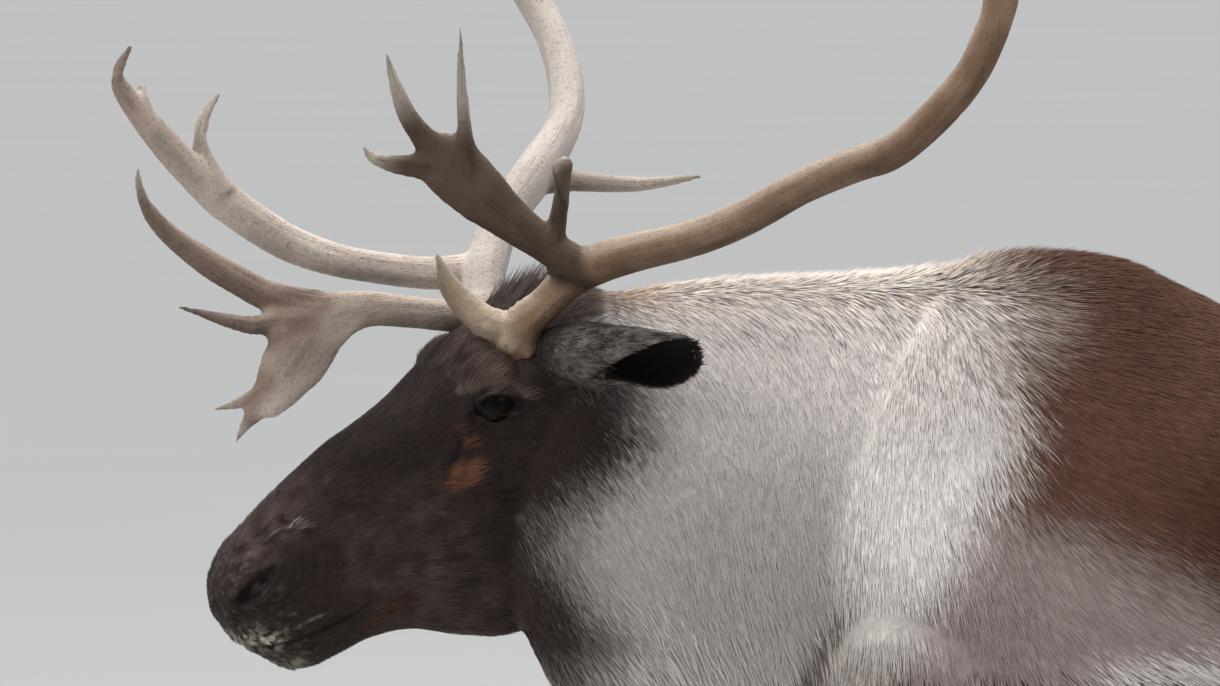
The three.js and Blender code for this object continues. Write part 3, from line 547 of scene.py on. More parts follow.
def lid_part(side):
    """Both lids as one band swept round the eye: the upper thick and hooded, the lower thin."""
    c, s = np.cos(turn(56))[:, None], np.sin(turn(56))[:, None]
    over = step(-0.3, 0.6, s)
    rim = LID["rim"] * (0.7 + 0.75 * over)
    rim_c, rim_s = rim * np.cos(turn(12)), rim * np.sin(turn(12))
    almond = 1 - 0.18 * np.abs(c) ** 3
    out = EYE["out"] + LID["bulge"] + 2.4 * over - LID["drop"] * c * c + rim_s
    rings = around_eye(side, (LID["long"] + 0.9 * rim_c) * c, (LID["high"] * almond + rim_c) * s - 0.8 * over, out)
    ring = np.arange(56)[:, None] * 12
    a, b = ring + np.arange(12), ring + np.roll(np.arange(12), -1)
    ahead = np.roll(a, -1, 0), np.roll(b, -1, 0)
    faces = np.stack([a, b, ahead[0], b, ahead[1], ahead[0]], -1).reshape(-1, 3)
    return outward(rings.reshape(-1, 3), faces)


def ball_part(centre, radii, sides=40):
    """A closed ball stretched along the head's axes."""
    tilt = np.pi * (np.arange(1, sides // 2) / (sides // 2))[:, None]
    own = [np.cos(tilt) + 0 * turn(sides), np.sin(tilt) * np.cos(turn(sides)), np.sin(tilt) * np.sin(turn(sides))]
    return loft(on_head(np.stack(own, -1) * radii + centre))


def head_part(sides, inset):
    """A skin over the sections of the skull and jaw."""
    rows = finer(HEAD, 6)
    y, up = section(rows[:, 1:], sides, inset)
    return loft(on_head(np.stack([rows[:, :1] + 0 * y, y, up], -1)))


head_parts = [head_part(96, COAT_DEPTH["head"])]
for side in (-1, 1):
    centre = [BROW["ahead"], side * BROW["out"], BROW["up"]]
    head_parts.append(ball_part(centre, np.array([1.3, 0.95, 0.95]) * BROW["radius"]))
    head_parts.append(lid_part(side))
    head_parts.append(ear_part(side, 22, COAT_DEPTH["ear"]))
HEAD_VOXEL = 1.9
head_points, head_faces = fused("head_flesh", head_parts, HEAD_VOXEL)
print("head flesh:", len(head_points), "points")

# %% [markdown]
# Now the face is modelled as a carver would: sockets, the groove that tears run down, comma-shaped
# nostrils, the parting of the lips, the chewing muscle and the hollow in front of it.

# %% Face
# Ahead, out, up, radius, push
FACE_FORMS = [
    [62, 74, -112, 44, 4.5],
    [142, 62, -92, 34, -4],
    [196, 50, 6, 36, -3],
    [122, 64, 46, 20, -3],
    [60, 66, 36, 15, -2.5],
    [340, 44, -22, 22, 2],
    [352, 10, -78, 16, 2],
    [120, 70, -2, 15, -2],
]
TEAR_GROOVE = [[106, 22], [126, 9], [152, -6]]
NOSTRIL = [
    [358, 20, 2, 2.8], [352, 30, 6, 4.8], [342, 38, 9, 6.2], [327, 43, 12, 5.4], [310, 46, 18, 3.8],
    [294, 47, 26, 3.0], [281, 47, 25, 2.0],
]
# Ahead and up along each wrinkle, with how far it stands out
WRINKLES = [
    [[286, 48], [278, 34], [268, 20], 1.7],
    [[306, 34], [290, 34], [274, 24], 1.6],
    [[322, 28], [306, 28], [290, 38], 1.0],
    [[300, -14], [288, -4], [280, 10], 0.8],
    [[334, -14], [318, -6], [304, 4], 0.9],
    [[306, -43], [318, -39], [330, -37], 1.2],
    [[262, -48], [274, -40], [286, -28], 0.8],
    [[100, 50], [84, 54], [66, 50], 1.6],
    [[112, -2], [96, -7], [80, -6], 1.2],
]
MOUTH = [[246, -62], [276, -62], [306, -56], [336, -46], [366, -35], [384, -30]]


def hashed(cell):
    """A number from 0 to 1 for each whole-number cell."""
    mixed = cell[..., 0] * 73856093 ^ cell[..., 1] * 19349663 ^ cell[..., 2] * 83492791
    mixed = (mixed ^ (mixed >> 13)) * 1274126177 & 0x7FFFFFFF
    return ((mixed ^ (mixed >> 16)) & 0xFFFF) / 65535


def cloud(points, size, seed=0):
    """Soft random values from -1 to 1 that change over the size in millimetres."""
    place = points / size + seed * 17.3
    cell = np.floor(place).astype(np.int64)
    t = place - cell
    t = t * t * (3 - 2 * t)
    total = 0
    for corner in np.ndindex(2, 2, 2):
        weight = np.prod(np.where(corner, t, 1 - t), axis=1)
        total = total + weight * hashed(cell + np.array(corner) + seed)
    return 2 * total - 1


def to_line(points, line):
    """Distance from points to a fine line and the number of its nearest place."""
    gap = np.linalg.norm(points[:, None] - line[None], axis=2)
    return gap.min(1), gap.argmin(1)


def mouth_gap(own):
    """Height over the parting of the lips."""
    line = finer(MOUTH, 4)
    return own[:, 2] - np.interp(own[:, 0], line[:, 0], line[:, 1])


def carve_face(points, normals):
    """The points of the head with the features of the face pushed in or out."""
    own = own_head(points)
    amount = np.zeros(len(points))
    along, up = eye_place(own)
    # nostrils
    front = np.flatnonzero(own[:, 0] > 265)
    line = finer(NOSTRIL, 6)
    gap, at = to_line(own[front] * [1, 0, 1] + np.abs(own[front]) * [0, 1, 0], line[:, :3])
    share = gap / line[at, 3]
    amount[front] += 1.4 * np.exp(-((share - 1.7) / 0.5) ** 2) - 9 * step(1.25, 0.35, share)
    for *line, rise in WRINKLES:
        near = np.flatnonzero(np.abs(own[:, 0] - line[1][0]) < 40)
        gap, _ = to_line(own[near][:, [0, 2]], finer(line, 12))
        fold = np.exp(-((gap / 2.6) ** 2)) - 0.55 * np.exp(-(((gap - 5) / 2.4) ** 2))
        amount[near] += rise * fold * (np.abs(own[near, 1]) > 22)
    muzzle = step(270, 330, own[:, 0])
    amount += muzzle * (0.8 * cloud(own, 5, 50) + 0.9 * cloud(own * [0.5, 1, 1], 10, 51))
    # lips
    lips = step(250, 300, own[:, 0])
    gap = mouth_gap(own)
    amount += lips * (1.2 * np.exp(-((np.abs(gap) - 6) / 4) ** 2) - 2.6 * np.exp(-((gap / 1.7) ** 2)))
    # tear groove
    line = finer(TEAR_GROOVE, 8)
    near = np.flatnonzero((np.abs(own[:, 0] - 130) < 50) & (np.abs(own[:, 2]) < 50))
    gap, at = to_line(own[near][:, [0, 2]], line)
    amount[near] += (1.2 * np.exp(-((gap - 7) / 4) ** 2) - 3 * np.exp(-((gap / 3.4) ** 2))) * (np.abs(own[near, 1]) > 30)
    points = points + normals * amount[:, None]
    # sockets
    own = own_head(points)
    share = np.hypot(along / (LID["long"] - LID["rim"] + 0.8), up / (LID["high"] - LID["rim"] + 0.8))
    out = np.abs(own[:, 1])
    sunk = np.where(out > 52, step(1.02, 0.72, share) * np.maximum(out - EYE["out"] - 3, 0), 0)
    own[:, 1] -= np.sign(own[:, 1]) * sunk
    return on_head(own)


head_edges = edges_of(head_faces)
head_points = relaxed(head_points, head_edges, 3)
own = own_head(head_points)
forms = pushed(own, own_head(head_points + normals_of(head_points, head_faces)) - own, FACE_FORMS, 1)
head_points = on_head(forms)
head_points = carve_face(head_points, normals_of(head_points, head_faces))
head_points = relaxed(head_points, head_edges, 1)
print("face reaches from", own_head(head_points)[:, 0].min().round(), "to", own_head(head_points)[:, 0].max().round())

# %% [markdown]
# Head and body become one skin, as on the animal. A true union keeps the face's fine grain, and
# the crease at the joint is then rubbed smooth, most at the seam and less with each ring of points.

# %% One skin
head_mesh = mesh_from("head_flesh", *outward(head_points, head_faces))
body_mesh = mesh_from("body_flesh", *outward(body_points, body_faces))
head_flesh = piece_from("head_flesh", head_mesh)
skin_points, skin_faces = with_modifier(
    "skin", body_mesh, "BOOLEAN", operation="UNION", solver="MANIFOLD", object=head_flesh
)
bpy.data.objects.remove(head_flesh)
skin_points, skin_faces = welded(skin_points, skin_faces, 0.8)
skin_edges = edges_of(skin_faces)
near_head = np.flatnonzero((skin_points[:, 0] < -250) & (skin_points[:, 2] > 700))
of_head = np.zeros(len(skin_points), bool)
of_head[near_head] = nearest(skin_points[near_head], head_points)[0] < 0.2
a, b = skin_edges
seam = np.zeros(len(skin_points))
crossing = of_head[a] != of_head[b]
seam[a[crossing]] = seam[b[crossing]] = 1
SEAM_RINGS = 16
for _ in range(SEAM_RINGS):
    spread = seam.copy()
    np.maximum.at(spread, a, seam[b] - 1 / SEAM_RINGS)
    np.maximum.at(spread, b, seam[a] - 1 / SEAM_RINGS)
    seam = spread
on_face = step(40, 80, own_head(skin_points)[:, 0]) * step(-60, -20, own_head(skin_points)[:, 2])
skin_points = relaxed(skin_points, skin_edges, 30, 0.9 * seam * (1 - on_face), keep_volume=False)
skin_normals = normals_of(skin_points, skin_faces)
print("skin:", len(skin_points), "points,", len(skin_faces), "triangles,", int(crossing.sum()), "across the seam")

# %% [markdown]
# Markings are painted from the animal's own landmarks, so that skin and hair get the same colour
# from one function. Where one colour meets another the edge is soft and a little ragged, as the
# hairs of both grow through each other there.

# %% Colours of the coat


def paint(red, green, blue):
    """A colour as light, from the numbers of a paint chart."""
    c = np.array([red, green, blue]) / 255
    return np.where(c < 0.04, c / 12.92, ((c + 0.055) / 1.055) ** 2.4)


PAINT = {
    "face": paint(40, 30, 28),
    # grey hair, and a painted sky sheen on the top of the muzzle and the forehead
    "grey_and_sky_sheen": paint(92, 77, 71),
    "neck": paint(169, 163, 159),
    "neck_low": paint(174, 166, 161),
    "neck_high": paint(196, 188, 184),
    "nape": paint(150, 124, 98),
    "crest": paint(206, 194, 182),
    "speck": paint(58, 50, 46),
    "shoulder": paint(220, 214, 210),
    "low_shoulder": paint(170, 156, 148),
    "hump": paint(68, 41, 28),
    "back": paint(81, 54, 43),
    "flank": paint(62, 36, 23),
    "low_flank": paint(146, 132, 129),
    "stripe": paint(52, 38, 33),
    "fringe": paint(212, 206, 202),
    "belly": paint(190, 182, 175),
    "rump": paint(214, 208, 200),
    "tail": paint(218, 212, 204),
    "leg": paint(62, 49, 42),
    "cuff": paint(186, 178, 168),
    # painted shade of the crease between neck and shoulder
    "crease": paint(70, 56, 48),
    "gland": paint(110, 72, 53),
    "mouth_corner": paint(58, 36, 27),
    "lip": paint(186, 184, 168),
    # also used for painted shade between the pebbles of the muzzle
    "wet": paint(20, 15, 14),
    "ear_back": paint(120, 112, 107),
    "ear_cup": paint(12, 8, 7),
    # pale grey, also used for painted highlights on the muzzle
    "pale_grey": paint(150, 141, 136),
    "throat": paint(112, 95, 86),
    "ear_edge": paint(34, 27, 25),
}


def mixed(colour, name, share):
    """The colour with a share of a paint laid over it."""
    return colour + (PAINT[name] - colour) * np.clip(share, 0, 1)[:, None]


def spot(points, centre, radii):
    """1 at the middle of a soft round patch and 0 outside it."""
    return step(1.25, 0.45, np.linalg.norm((points - centre) / radii, axis=1))


# Where the pale neck ends and the brown cape begins: height and x
CAPE = np.array([
    [760, -175], [777, -150], [795, -112], [820, -106], [839, -108], [863, -94], [887, -82], [935, -56], [983, -38],
    [1058, -36], [1100, -48], [1118, -74], [1134, -110],
])
# Middle of the fade behind the dark face: height and distance ahead of the poll, with the head level
# The rows at heights -68 and -30 carry the dark face back under the ear as a painted shadow of the ear.
FACE_EDGE = np.array([
    [-320, 58], [-257, 10], [-229, -8], [-203, 7], [-169, 28], [-135, 31], [-102, 0], [-68, -38],
    [-30, -36], [20, -22], [60, -46],
])
HEAD_PITCH = np.radians(36)
# Crease between neck and shoulder, as x and height: the coat along it is darkened as painted shade
SHADED_CREASE = [[-170, 856], [-178, 838], [-193, 815], [-208, 790], [-220, 762]]


def past_face(own):
    """Distance behind the middle of the face's fade."""
    c, s = np.cos(HEAD_PITCH), np.sin(HEAD_PITCH)
    ahead, up = own[:, 0] * c + own[:, 2] * s, own[:, 2] * c - own[:, 0] * s
    return np.interp(up, FACE_EDGE[:, 0], FACE_EDGE[:, 1]) - ahead


def body_colour(points):
    """Coat of the neck and trunk by place."""
    x, y, z = points.T
    off = np.abs(y)
    ragged = 16 * cloud(points, 30) + 10 * cloud(points, 11, 1)
    colour = np.repeat(PAINT["neck"][None], len(points), 0) * (1 + 0.06 * cloud(points, 60, 2))[:, None]
    colour = mixed(colour, "neck_high", step(930, 1050, z))
    colour = mixed(colour, "neck_low", step(930, 800, z) * step(-150, -230, x))
    colour = mixed(colour, "shoulder", step(-195, -140, x) * step(780, 880, z) * step(1030, 930, z) * 0.9)
    colour = mixed(colour, "crest", step(1078, 1098, z + 0.4 * ragged) * 0.95)
    colour = mixed(colour, "nape", step(1068, 1088, z) * step(-290, -350, x + ragged) * 0.8)
    colour = mixed(colour, "low_shoulder", step(840, 760, z) * step(-210, -150, x) * 0.8)
    # brown cape
    edge = np.interp(z, CAPE[:, 0], CAPE[:, 1])
    brown = np.repeat(PAINT["back"][None], len(points), 0) * (1 + 0.08 * cloud(points, 80, 5))[:, None]
    brown = mixed(brown, "hump", step(990, 1100, z) * step(160, 60, x))
    brown = mixed(brown, "flank", step(40, 150, x) * step(1010, 930, z) * step(800, 870, z) * step(700, 400, x))
    top = 940 - 0.42 * x + ragged
    brown = mixed(brown, "low_flank", step(top, top - 70, z) * step(-150, -90, x) * step(330, 150, x) * 0.9)
    low = z + 0.4 * ragged
    brown = mixed(brown, "fringe", step(812, 796, low) * step(-10, 40, x) * step(420, 220, x) * 0.85)
    brown = mixed(brown, "stripe", step(790, 772, low))
    brown = mixed(brown, "belly", step(730, 680, low) * step(60, 140, x))
    blend = 26 + 44 * step(1000, 1090, z)
    colour = colour + (brown - colour) * step(edge - blend, edge + blend, x + ragged)[:, None]
    colour = mixed(colour, "stripe", step(765, 735, low) * step(-190, -120, x))
    # rump and throat
    colour = mixed(colour, "rump", step(850, 905, x + ragged) * step(130, 95, off) * step(790, 830, z))
    # painted shade along the crease between neck and shoulder
    gap, _ = to_line(points[:, [0, 2]], finer(SHADED_CREASE, 4))
    colour = mixed(colour, "crease", step(15, 5, gap) * (off > 60) * step(870, 820, z) * 0.85)
    throat = step(830, 770, z) * step(-345, -420, x + ragged)
    return mixed(colour, "throat", 0.4 * throat)


def leg_colour(points, colour):
    """Dark legs with a pale cuff over the hooves."""
    x, y, z = points.T
    ragged = 10 * cloud(points, 14, 6)
    leg = step(740, 690, z + ragged) * ((x < 60) | (x > 600)) * (np.abs(y) > 55)
    leg = np.maximum(leg, step(600, 580, z))
    dark = np.repeat(PAINT["leg"][None], len(points), 0) * (1 + 0.12 * cloud(points, 40, 7))[:, None]
    dark = mixed(dark, "belly", 0.45 * step(90, 60, np.abs(y)) * step(560, 640, z))
    dark = mixed(dark, "cuff", step(118, 92, z + ragged) * 0.8)
    return colour + (dark - colour) * leg[:, None]


def face_colour(points, own):
    """The dark mask with its fades, patches and frosted lips."""
    ahead, off, up = own[:, 0], np.abs(own[:, 1]), own[:, 2]
    profile = np.stack([ahead, up], 1)
    mottle = 0.2 * cloud(points, 26, 8) + 0.2 * cloud(points, 5, 18) + 0.16 * cloud(points, 2.2, 19)
    colour = np.repeat(PAINT["face"][None], len(points), 0) * (1 + mottle)[:, None]
    grey = 0.55 + 0.6 * cloud(points, 11, 9)
    # Grey hair, lightened on the upward faces of the muzzle top and the forehead as a painted sky sheen
    colour = mixed(colour, "grey_and_sky_sheen", 0.55 * step(0, 40, up) * step(200, 300, ahead) * grey)
    colour = mixed(colour, "grey_and_sky_sheen", 0.35 * step(5, 30, up) * step(120, 60, ahead) * grey)
    colour = mixed(colour, "grey_and_sky_sheen", 0.45 * step(290, 250, ahead) * step(130, 200, ahead) * step(40, -30, up) * grey)
    colour = mixed(colour, "grey_and_sky_sheen", 0.8 * spot(profile, [70, 44], [34, 16]) * grey)
    patch = spot(profile, [146, -16], [20, 12]) * (0.8 + 0.5 * cloud(points, 2.4, 14))
    colour = mixed(colour, "gland", patch * (off > 30) * 0.85)
    colour = mixed(colour, "gland", spot(profile, [126, 6], [4, 18]) * (off > 30) * 0.45)
    colour = mixed(colour, "mouth_corner", spot(profile, [262, -80], [26, 9]) * (off > 14) * 0.8)
    near_lip = np.exp(-(((mouth_gap(own) - 7) / 10) ** 2))
    grit = 0.45 + 1.3 * cloud(points, 2.6, 11) + 0.7 * cloud(points, 6, 20)
    pale_grey = step(334, 360, ahead + 6 * cloud(points, 9, 10)) * near_lip * np.clip(grit, 0, 1)
    colour = mixed(colour, "lip", pale_grey)
    colour = mixed(colour, "lip", 0.4 * spot(profile, [352, -70], [18, 14]) * np.clip(grit, 0, 1))
    # Pale and dark specks on the front of the muzzle are painted highlights and painted shade of its pebbly skin
    pebble_light_and_shade = step(296, 336, ahead) * (cloud(points, 3.2, 17) + 0.5 * cloud(points, 7, 21))
    colour = mixed(colour, "pale_grey", 0.22 * np.clip(pebble_light_and_shade - 0.2, 0, 1))
    colour = mixed(colour, "wet", 0.75 * np.clip(-pebble_light_and_shade, 0, 1))
    # Thin pale lines along three wrinkles are painted highlights on the folds
    for index in (0, 1, 5):
        gap, _ = to_line(profile, finer(WRINKLES[index][:3], 8))
        colour = mixed(colour, "pale_grey", 0.4 * step(1.8, 0.4, gap) * (off > 22) * (0.7 + cloud(points, 5, 23)))
    parting = 0.8 * np.exp(-((mouth_gap(own) / 1.8) ** 2)) * step(250, 290, ahead)
    colour = mixed(colour, "wet", parting)
    line = finer(NOSTRIL, 6)
    inside = np.zeros(len(points))
    front = np.flatnonzero(ahead > 265)
    if len(front):
        gap, at = to_line(np.stack([ahead, off, up], 1)[front], line[:, :3])
        inside[front] = step(1.5, 0.9, gap / line[at, 3])
    colour = mixed(colour, "wet", inside)
    along, across = eye_place(own)
    ring = np.hypot(along / LID["long"], across / LID["high"])
    near_eye = (off > 50) & (np.abs(ahead - EYE["ahead"]) < 60)
    colour = mixed(colour, "grey_and_sky_sheen", 0.6 * near_eye * step(1.4, 1.6, ring) * step(2.4, 1.9, ring) * (across > 4))
    colour = mixed(colour, "pale_grey", 0.2 * near_eye * step(1.05, 1.15, ring) * step(1.35, 1.22, ring) * (across < -5))
    return mixed(colour, "wet", near_eye * step(1.2 + 0.25 * (across < 0), 1.02, ring))


ear_shells = np.stack([ear_rings(side, 22, COAT_DEPTH["ear"]) for side in (-1, 1)])
EAR_ROWS = ear_shells.shape[1]


def ear_place(points):
    """Share along the nearer ear, whether a point is on its lining, and whether it is on an ear."""
    share, lining, near = (np.zeros(len(points)) for _ in range(3))
    close = np.zeros(len(points), bool)
    for shell in ear_shells.reshape(2, -1, 3):
        close |= (np.abs(points - shell.mean(0)) < 130).all(1)
    close = np.flatnonzero(close)
    if len(close):
        gap, at = nearest(points[close], ear_shells.reshape(-1, 3))
        row, column = (at // 44) % EAR_ROWS, at % 44
        share[close] = row / (EAR_ROWS - 1) * EAR_CUP[-1][0]
        lining[close] = (column >= 22) & (share[close] > 0.34)
        near[close] = gap < 7
    return share, lining, near * (share > 0.02)


def ear_colour(points, colour):
    """Grizzled grey on the ear's back and near black in its cup."""
    share, lining, near = ear_place(points)
    grizzle = 0.42 + 0.35 * cloud(points, 9, 13) + 0.5 * cloud(points * [0.5, 1, 1], 1.9, 16)
    back = np.repeat(PAINT["ear_edge"][None], len(points), 0)
    back = mixed(back, "ear_back", grizzle * step(0.12, 0.34, share) * step(1.0, 0.84, share))
    back = mixed(back, "face", step(0.2, 0.08, share))
    back = mixed(back, "ear_cup", lining)
    return colour + (back - colour) * (near * step(0.04, 0.16, share))[:, None]


def coat_colour(points):
    """Colour of skin and hair at places in body millimetres."""
    own = own_head(points)
    colour = leg_colour(points, body_colour(points))
    # under the ear the dark reaches further back as a painted shadow of the ear
    face = step(38, -34, past_face(own) + 8 * cloud(points, 18, 12) + 4 * cloud(points, 6, 24))
    face = face * (points[:, 0] < -300) * (points[:, 2] > 700)
    colour = colour + (face_colour(points, own) - colour) * face[:, None]
    return ear_colour(points, colour)


sample = coat_colour(np.array([[200.0, -240, 900], [-260, -140, 900], [-60, 140, 300]]))
print("flank, neck and leg:", sample.round(3).tolist())

# %% [markdown]
# A coat is laid, not scattered. Every place on the body has a direction in which its hair lies, a
# length and a lift, and these change slowly, as they do on the animal. The kinds of place come first.

# %% Places of the coat
KINDS = ["trunk", "neck", "head", "ear", "leg", "tail"]
tri = skin_points[skin_faces]
tri_area = np.linalg.norm(np.cross(tri[:, 1] - tri[:, 0], tri[:, 2] - tri[:, 0]), axis=1) / 2
tri_middle = tri.mean(1)


def kinds_of(points, head_share):
    """The kind of place that each point is on, as its number in KINDS."""
    x, y, z = points.T
    kind = np.where(x < -190, 1, 0)
    for leg in LEGS:
        mid_x, mid_y, height, deep, wide = finer(leg["rows"], 4)[::-1].T
        at = [np.interp(z, height, column) for column in (mid_x, mid_y, deep, wide)]
        gap = np.hypot((x - at[0] - set_back(leg, z)) / at[2], (y - leg["side"] * at[1]) / at[3])
        kind[(gap < 1.25) & (z < 640)] = 4
    kind[(x > 934) & (np.abs(y) < 46) & ((x > 978) | (z > 955))] = 5
    kind[head_share] = 2
    share, _, near = ear_place(points)
    kind[(near > 0) & (share > 0.12) & head_share] = 3
    return kind


tri_kind = kinds_of(tri_middle, of_head[skin_faces].all(1))
print({name: round(tri_area[tri_kind == k].sum() * 1e-6, 3) for k, name in enumerate(KINDS)}, "square metres")

# %% [markdown]
# Hair lies back from the nose, down and back over the neck, back along the trunk and down the
# legs. It is short on the face, long under the neck, and stands up a little along the crest.

# %% Lie of the coat
NECK_FALL = [[700, 84], [760, 80], [850, 76], [950, 78], [1050, 74], [1085, 62], [1112, 30]]
TRUNK_FALL = [[600, 8], [700, 22], [900, 32], [1050, 30], [1100, 20], [1130, 8]]
HEAD_FALL = 50
MANE_FROM, MANE_TO = -440, -215


def fields(points, kind, normals):
    """Direction, length, lift and width of the hair at each place."""
    x, y, z = points.T
    own = own_head(points)
    ahead, up = own[:, 0], own[:, 2]
    fall = np.interp(z, *np.array(NECK_FALL).T)
    trunk_fall = np.interp(z, *np.array(TRUNK_FALL).T)
    fall = fall + (np.minimum(fall, HEAD_FALL) - fall) * step(-260, -380, x)
    fall = fall + (trunk_fall - fall) * step(-90, 60, x)
    arm = step(140, 60, np.abs(x + 70)) + step(170, 80, np.abs(x - 800))
    fall = fall + (74 - fall) * arm * step(850, 700, z) * step(50, 110, np.abs(y))
    fall = fall + 60 * step(880, 960, x) * (1 - fall / 90)
    fall = np.where(kind == 4, 86, fall)
    fall = np.radians(fall + 7 * cloud(points, 70, 20))
    way = np.stack([np.cos(fall), 0.1 * cloud(points, 90, 21), -np.sin(fall)], 1)
    head_own = np.stack([-0.95 + 0 * up, 0 * up, -0.3 - 0.4 * step(0, -120, up) + 0.35 * step(20, 60, up)], 1)
    head_way = on_head(own + head_own) - points
    way[kind == 2] = head_way[kind == 2]
    ears = np.flatnonzero(kind == 3)
    t_line = np.linspace(0, 1, 40)
    for side in (-1, 1):
        line = for_side(ear_line(t_line)[0], side)
        gap, at = to_line(points[ears], line)
        mine = gap < 60
        way[ears[mine]] = np.gradient(line, axis=0)[at[mine]]
    way[kind == 5] = [0.25, 0, -1]
    way = unit(way)
    way = unit(way - normals * (way * normals).sum(1, keepdims=True))
    # length
    mane = step(-0.35, -0.8, normals[:, 2]) * step(MANE_FROM - 20, MANE_FROM + 20, x) * step(MANE_TO, MANE_TO - 40, x)
    mane = np.where(kind == 1, mane, 0)
    short = np.where(kind == 1, 0.4 + 0.6 * step(-40, 90, past_face(own)), 1)
    length = np.select(
        [kind == 0, kind == 1, kind == 2, kind == 3, kind == 4, kind == 5],
        [
            26 + 10 * step(-20, 160, x) + 14 * step(760, 640, z) + 8 * step(860, 920, x),
            26 + 16 * step(1000, 800, z) + 50 * mane,
            5.5 + 7 * step(320, 200, ahead) + 9 * step(60, -20, ahead) + 20 * spot(own, [10, 0, 64], [34, 36, 40]),
            8 + 3 * cloud(points, 9, 22),
            15 + 10 * step(120, 80, z) + 12 * step(520, 640, z),
            60 + 0 * x,
        ],
    )
    crest = step(1080, 1104, z) * step(40, -40, x) * (kind < 2)
    lift = np.select(
        [kind == 0, kind == 1, kind == 2, kind == 3, kind == 4, kind == 5],
        [
            5 + 8 * step(760, 640, z) + 0 * x,
            5 + 16 * mane,
            8 + 22 * spot(own, [10, 0, 64], [34, 36, 40]),
            10 + 0 * x,
            7 + 9 * step(120, 80, z),
            10 + 0 * x,
        ],
    )
    lift = lift + 20 * crest
    length = (length - 6 * crest) * short
    width = np.choose(kind, [2.4, 1.7, 1.4, 1.3, 1.8, 3.0]) + 0.9 * mane
    return way, length, np.radians(lift), width, mane


def bare(points, kind):
    """Where no hair grows: eye openings, nostrils, lips, ear cups, antler roots and hoof tops."""
    own = own_head(points)
    along, across = eye_place(own)
    off = np.abs(own[:, 1])
    eye = (off > 45) & (np.hypot(along / LID["long"], across / LID["high"]) < 1.06) & (kind == 2)
    line = finer(NOSTRIL, 6)
    nose = np.zeros(len(points), bool)
    front = np.flatnonzero((kind == 2) & (own[:, 0] > 265))
    gap, at = to_line(np.stack([own[:, 0], off, own[:, 2]], 1)[front], line[:, :3])
    nose[front] = gap < line[at, 3] * 1.25
    lips = (kind == 2) & (own[:, 0] > 250) & (np.abs(mouth_gap(own)) < 2.6)
    _, lining, _ = ear_place(points)
    cup = (kind == 3) & (lining > 0)
    root = np.linalg.norm(own * [1, 0, 1] + np.abs(own) * [0, 1, 0] - [38, 45, 40], axis=1) < 25
    return eye | nose | lips | cup | root | (points[:, 2] < 55)


tri_normal = unit(skin_normals[skin_faces].sum(1))
open_skin = ~bare(tri_middle, tri_kind)
print("hair grows on", round(open_skin.mean() * 100, 1), "percent of the skin")

# %% [markdown]
# A tuft is a thin closed blade, three-sided at the root and at its widest part and drawn out to
# one point. Its shading follows the body under it, so thousands of them read as soft fur, and
# each is tinted darker at the root and paler at the tip.

# %% Making tufts
BLADE = np.array([
    [2, 1, 0], [0, 1, 4], [0, 4, 3], [1, 2, 5], [1, 5, 4], [2, 0, 3], [2, 3, 5], [3, 4, 6], [4, 5, 6], [5, 3, 6],
])
SPIKE = np.array([[2, 1, 0], [0, 1, 3], [1, 2, 3], [2, 0, 3]])
PATCH = 0.003
draw = np.random.default_rng(20)


def roots(kind, spacing, weight=None):
    """Places for tufts spread evenly over one kind of skin, about spacing millimetres apart."""
    grow = tri_area * open_skin * (tri_kind == KINDS.index(kind)) * (1 if weight is None else weight)
    total = grow.cumsum()
    count = int(total[-1] / spacing**2)
    pick = np.searchsorted(total, (np.arange(count) + draw.random(count)) * total[-1] / count)
    pick = np.minimum(pick, len(total) - 1)
    u, v = draw.random((2, count))
    flip = u + v > 1
    u, v = np.where(flip, 1 - u, u), np.where(flip, 1 - v, v)
    corner, edge_u, edge_v = tri[pick, 0], tri[pick, 1] - tri[pick, 0], tri[pick, 2] - tri[pick, 0]
    return corner + edge_u * u[:, None] + edge_v * v[:, None], tri_normal[pick], tri_kind[pick]


def clumped(places, tips, size, share):
    """Tips drawn together towards the tip of a leading tuft, and the number of that leader."""
    leaders = draw.permutation(len(places))[: max(1, len(places) // size)]
    _, lead = nearest(places, places[leaders])
    near = leaders[lead]
    return tips + (tips[near] - tips) * (share * draw.uniform(0.4, 1, len(places)))[:, None], near


def unwrapped(places, kind):
    """Each root's place on the skin laid out flat: along the body part and round it."""
    if kind in ("head", "ear"):
        own = own_head(places)
        u, v = (own[:, 0] + 130) / 520, np.arctan2(own[:, 2] + 50, own[:, 1])
    elif kind == "leg":
        column = (places[:, 0] > 400) * 2 + (places[:, 1] > 0)
        lean = places[:, 0] - np.where(places[:, 0] > 400, 850, -60)
        round_leg = np.arctan2(np.abs(places[:, 1]) - 134, lean)
        u = (column + 0.03 + 0.94 * (round_leg / (2 * np.pi) + 0.5)) / 4
        return np.stack([u, np.clip(places[:, 2] / 660, 0, 1)], 1) * 0.99 + 0.005
    elif kind == "tail":
        u, v = (places[:, 2] - 790) / 190, np.arctan2(places[:, 1], places[:, 0] - 985)
    else:
        u, v = (places[:, 0] + 480) / 1480, np.arctan2(places[:, 2] - 850, places[:, 1])
    return np.stack([np.clip(u, 0, 1), v / (2 * np.pi) + 0.5], 1) * 0.99 + 0.005


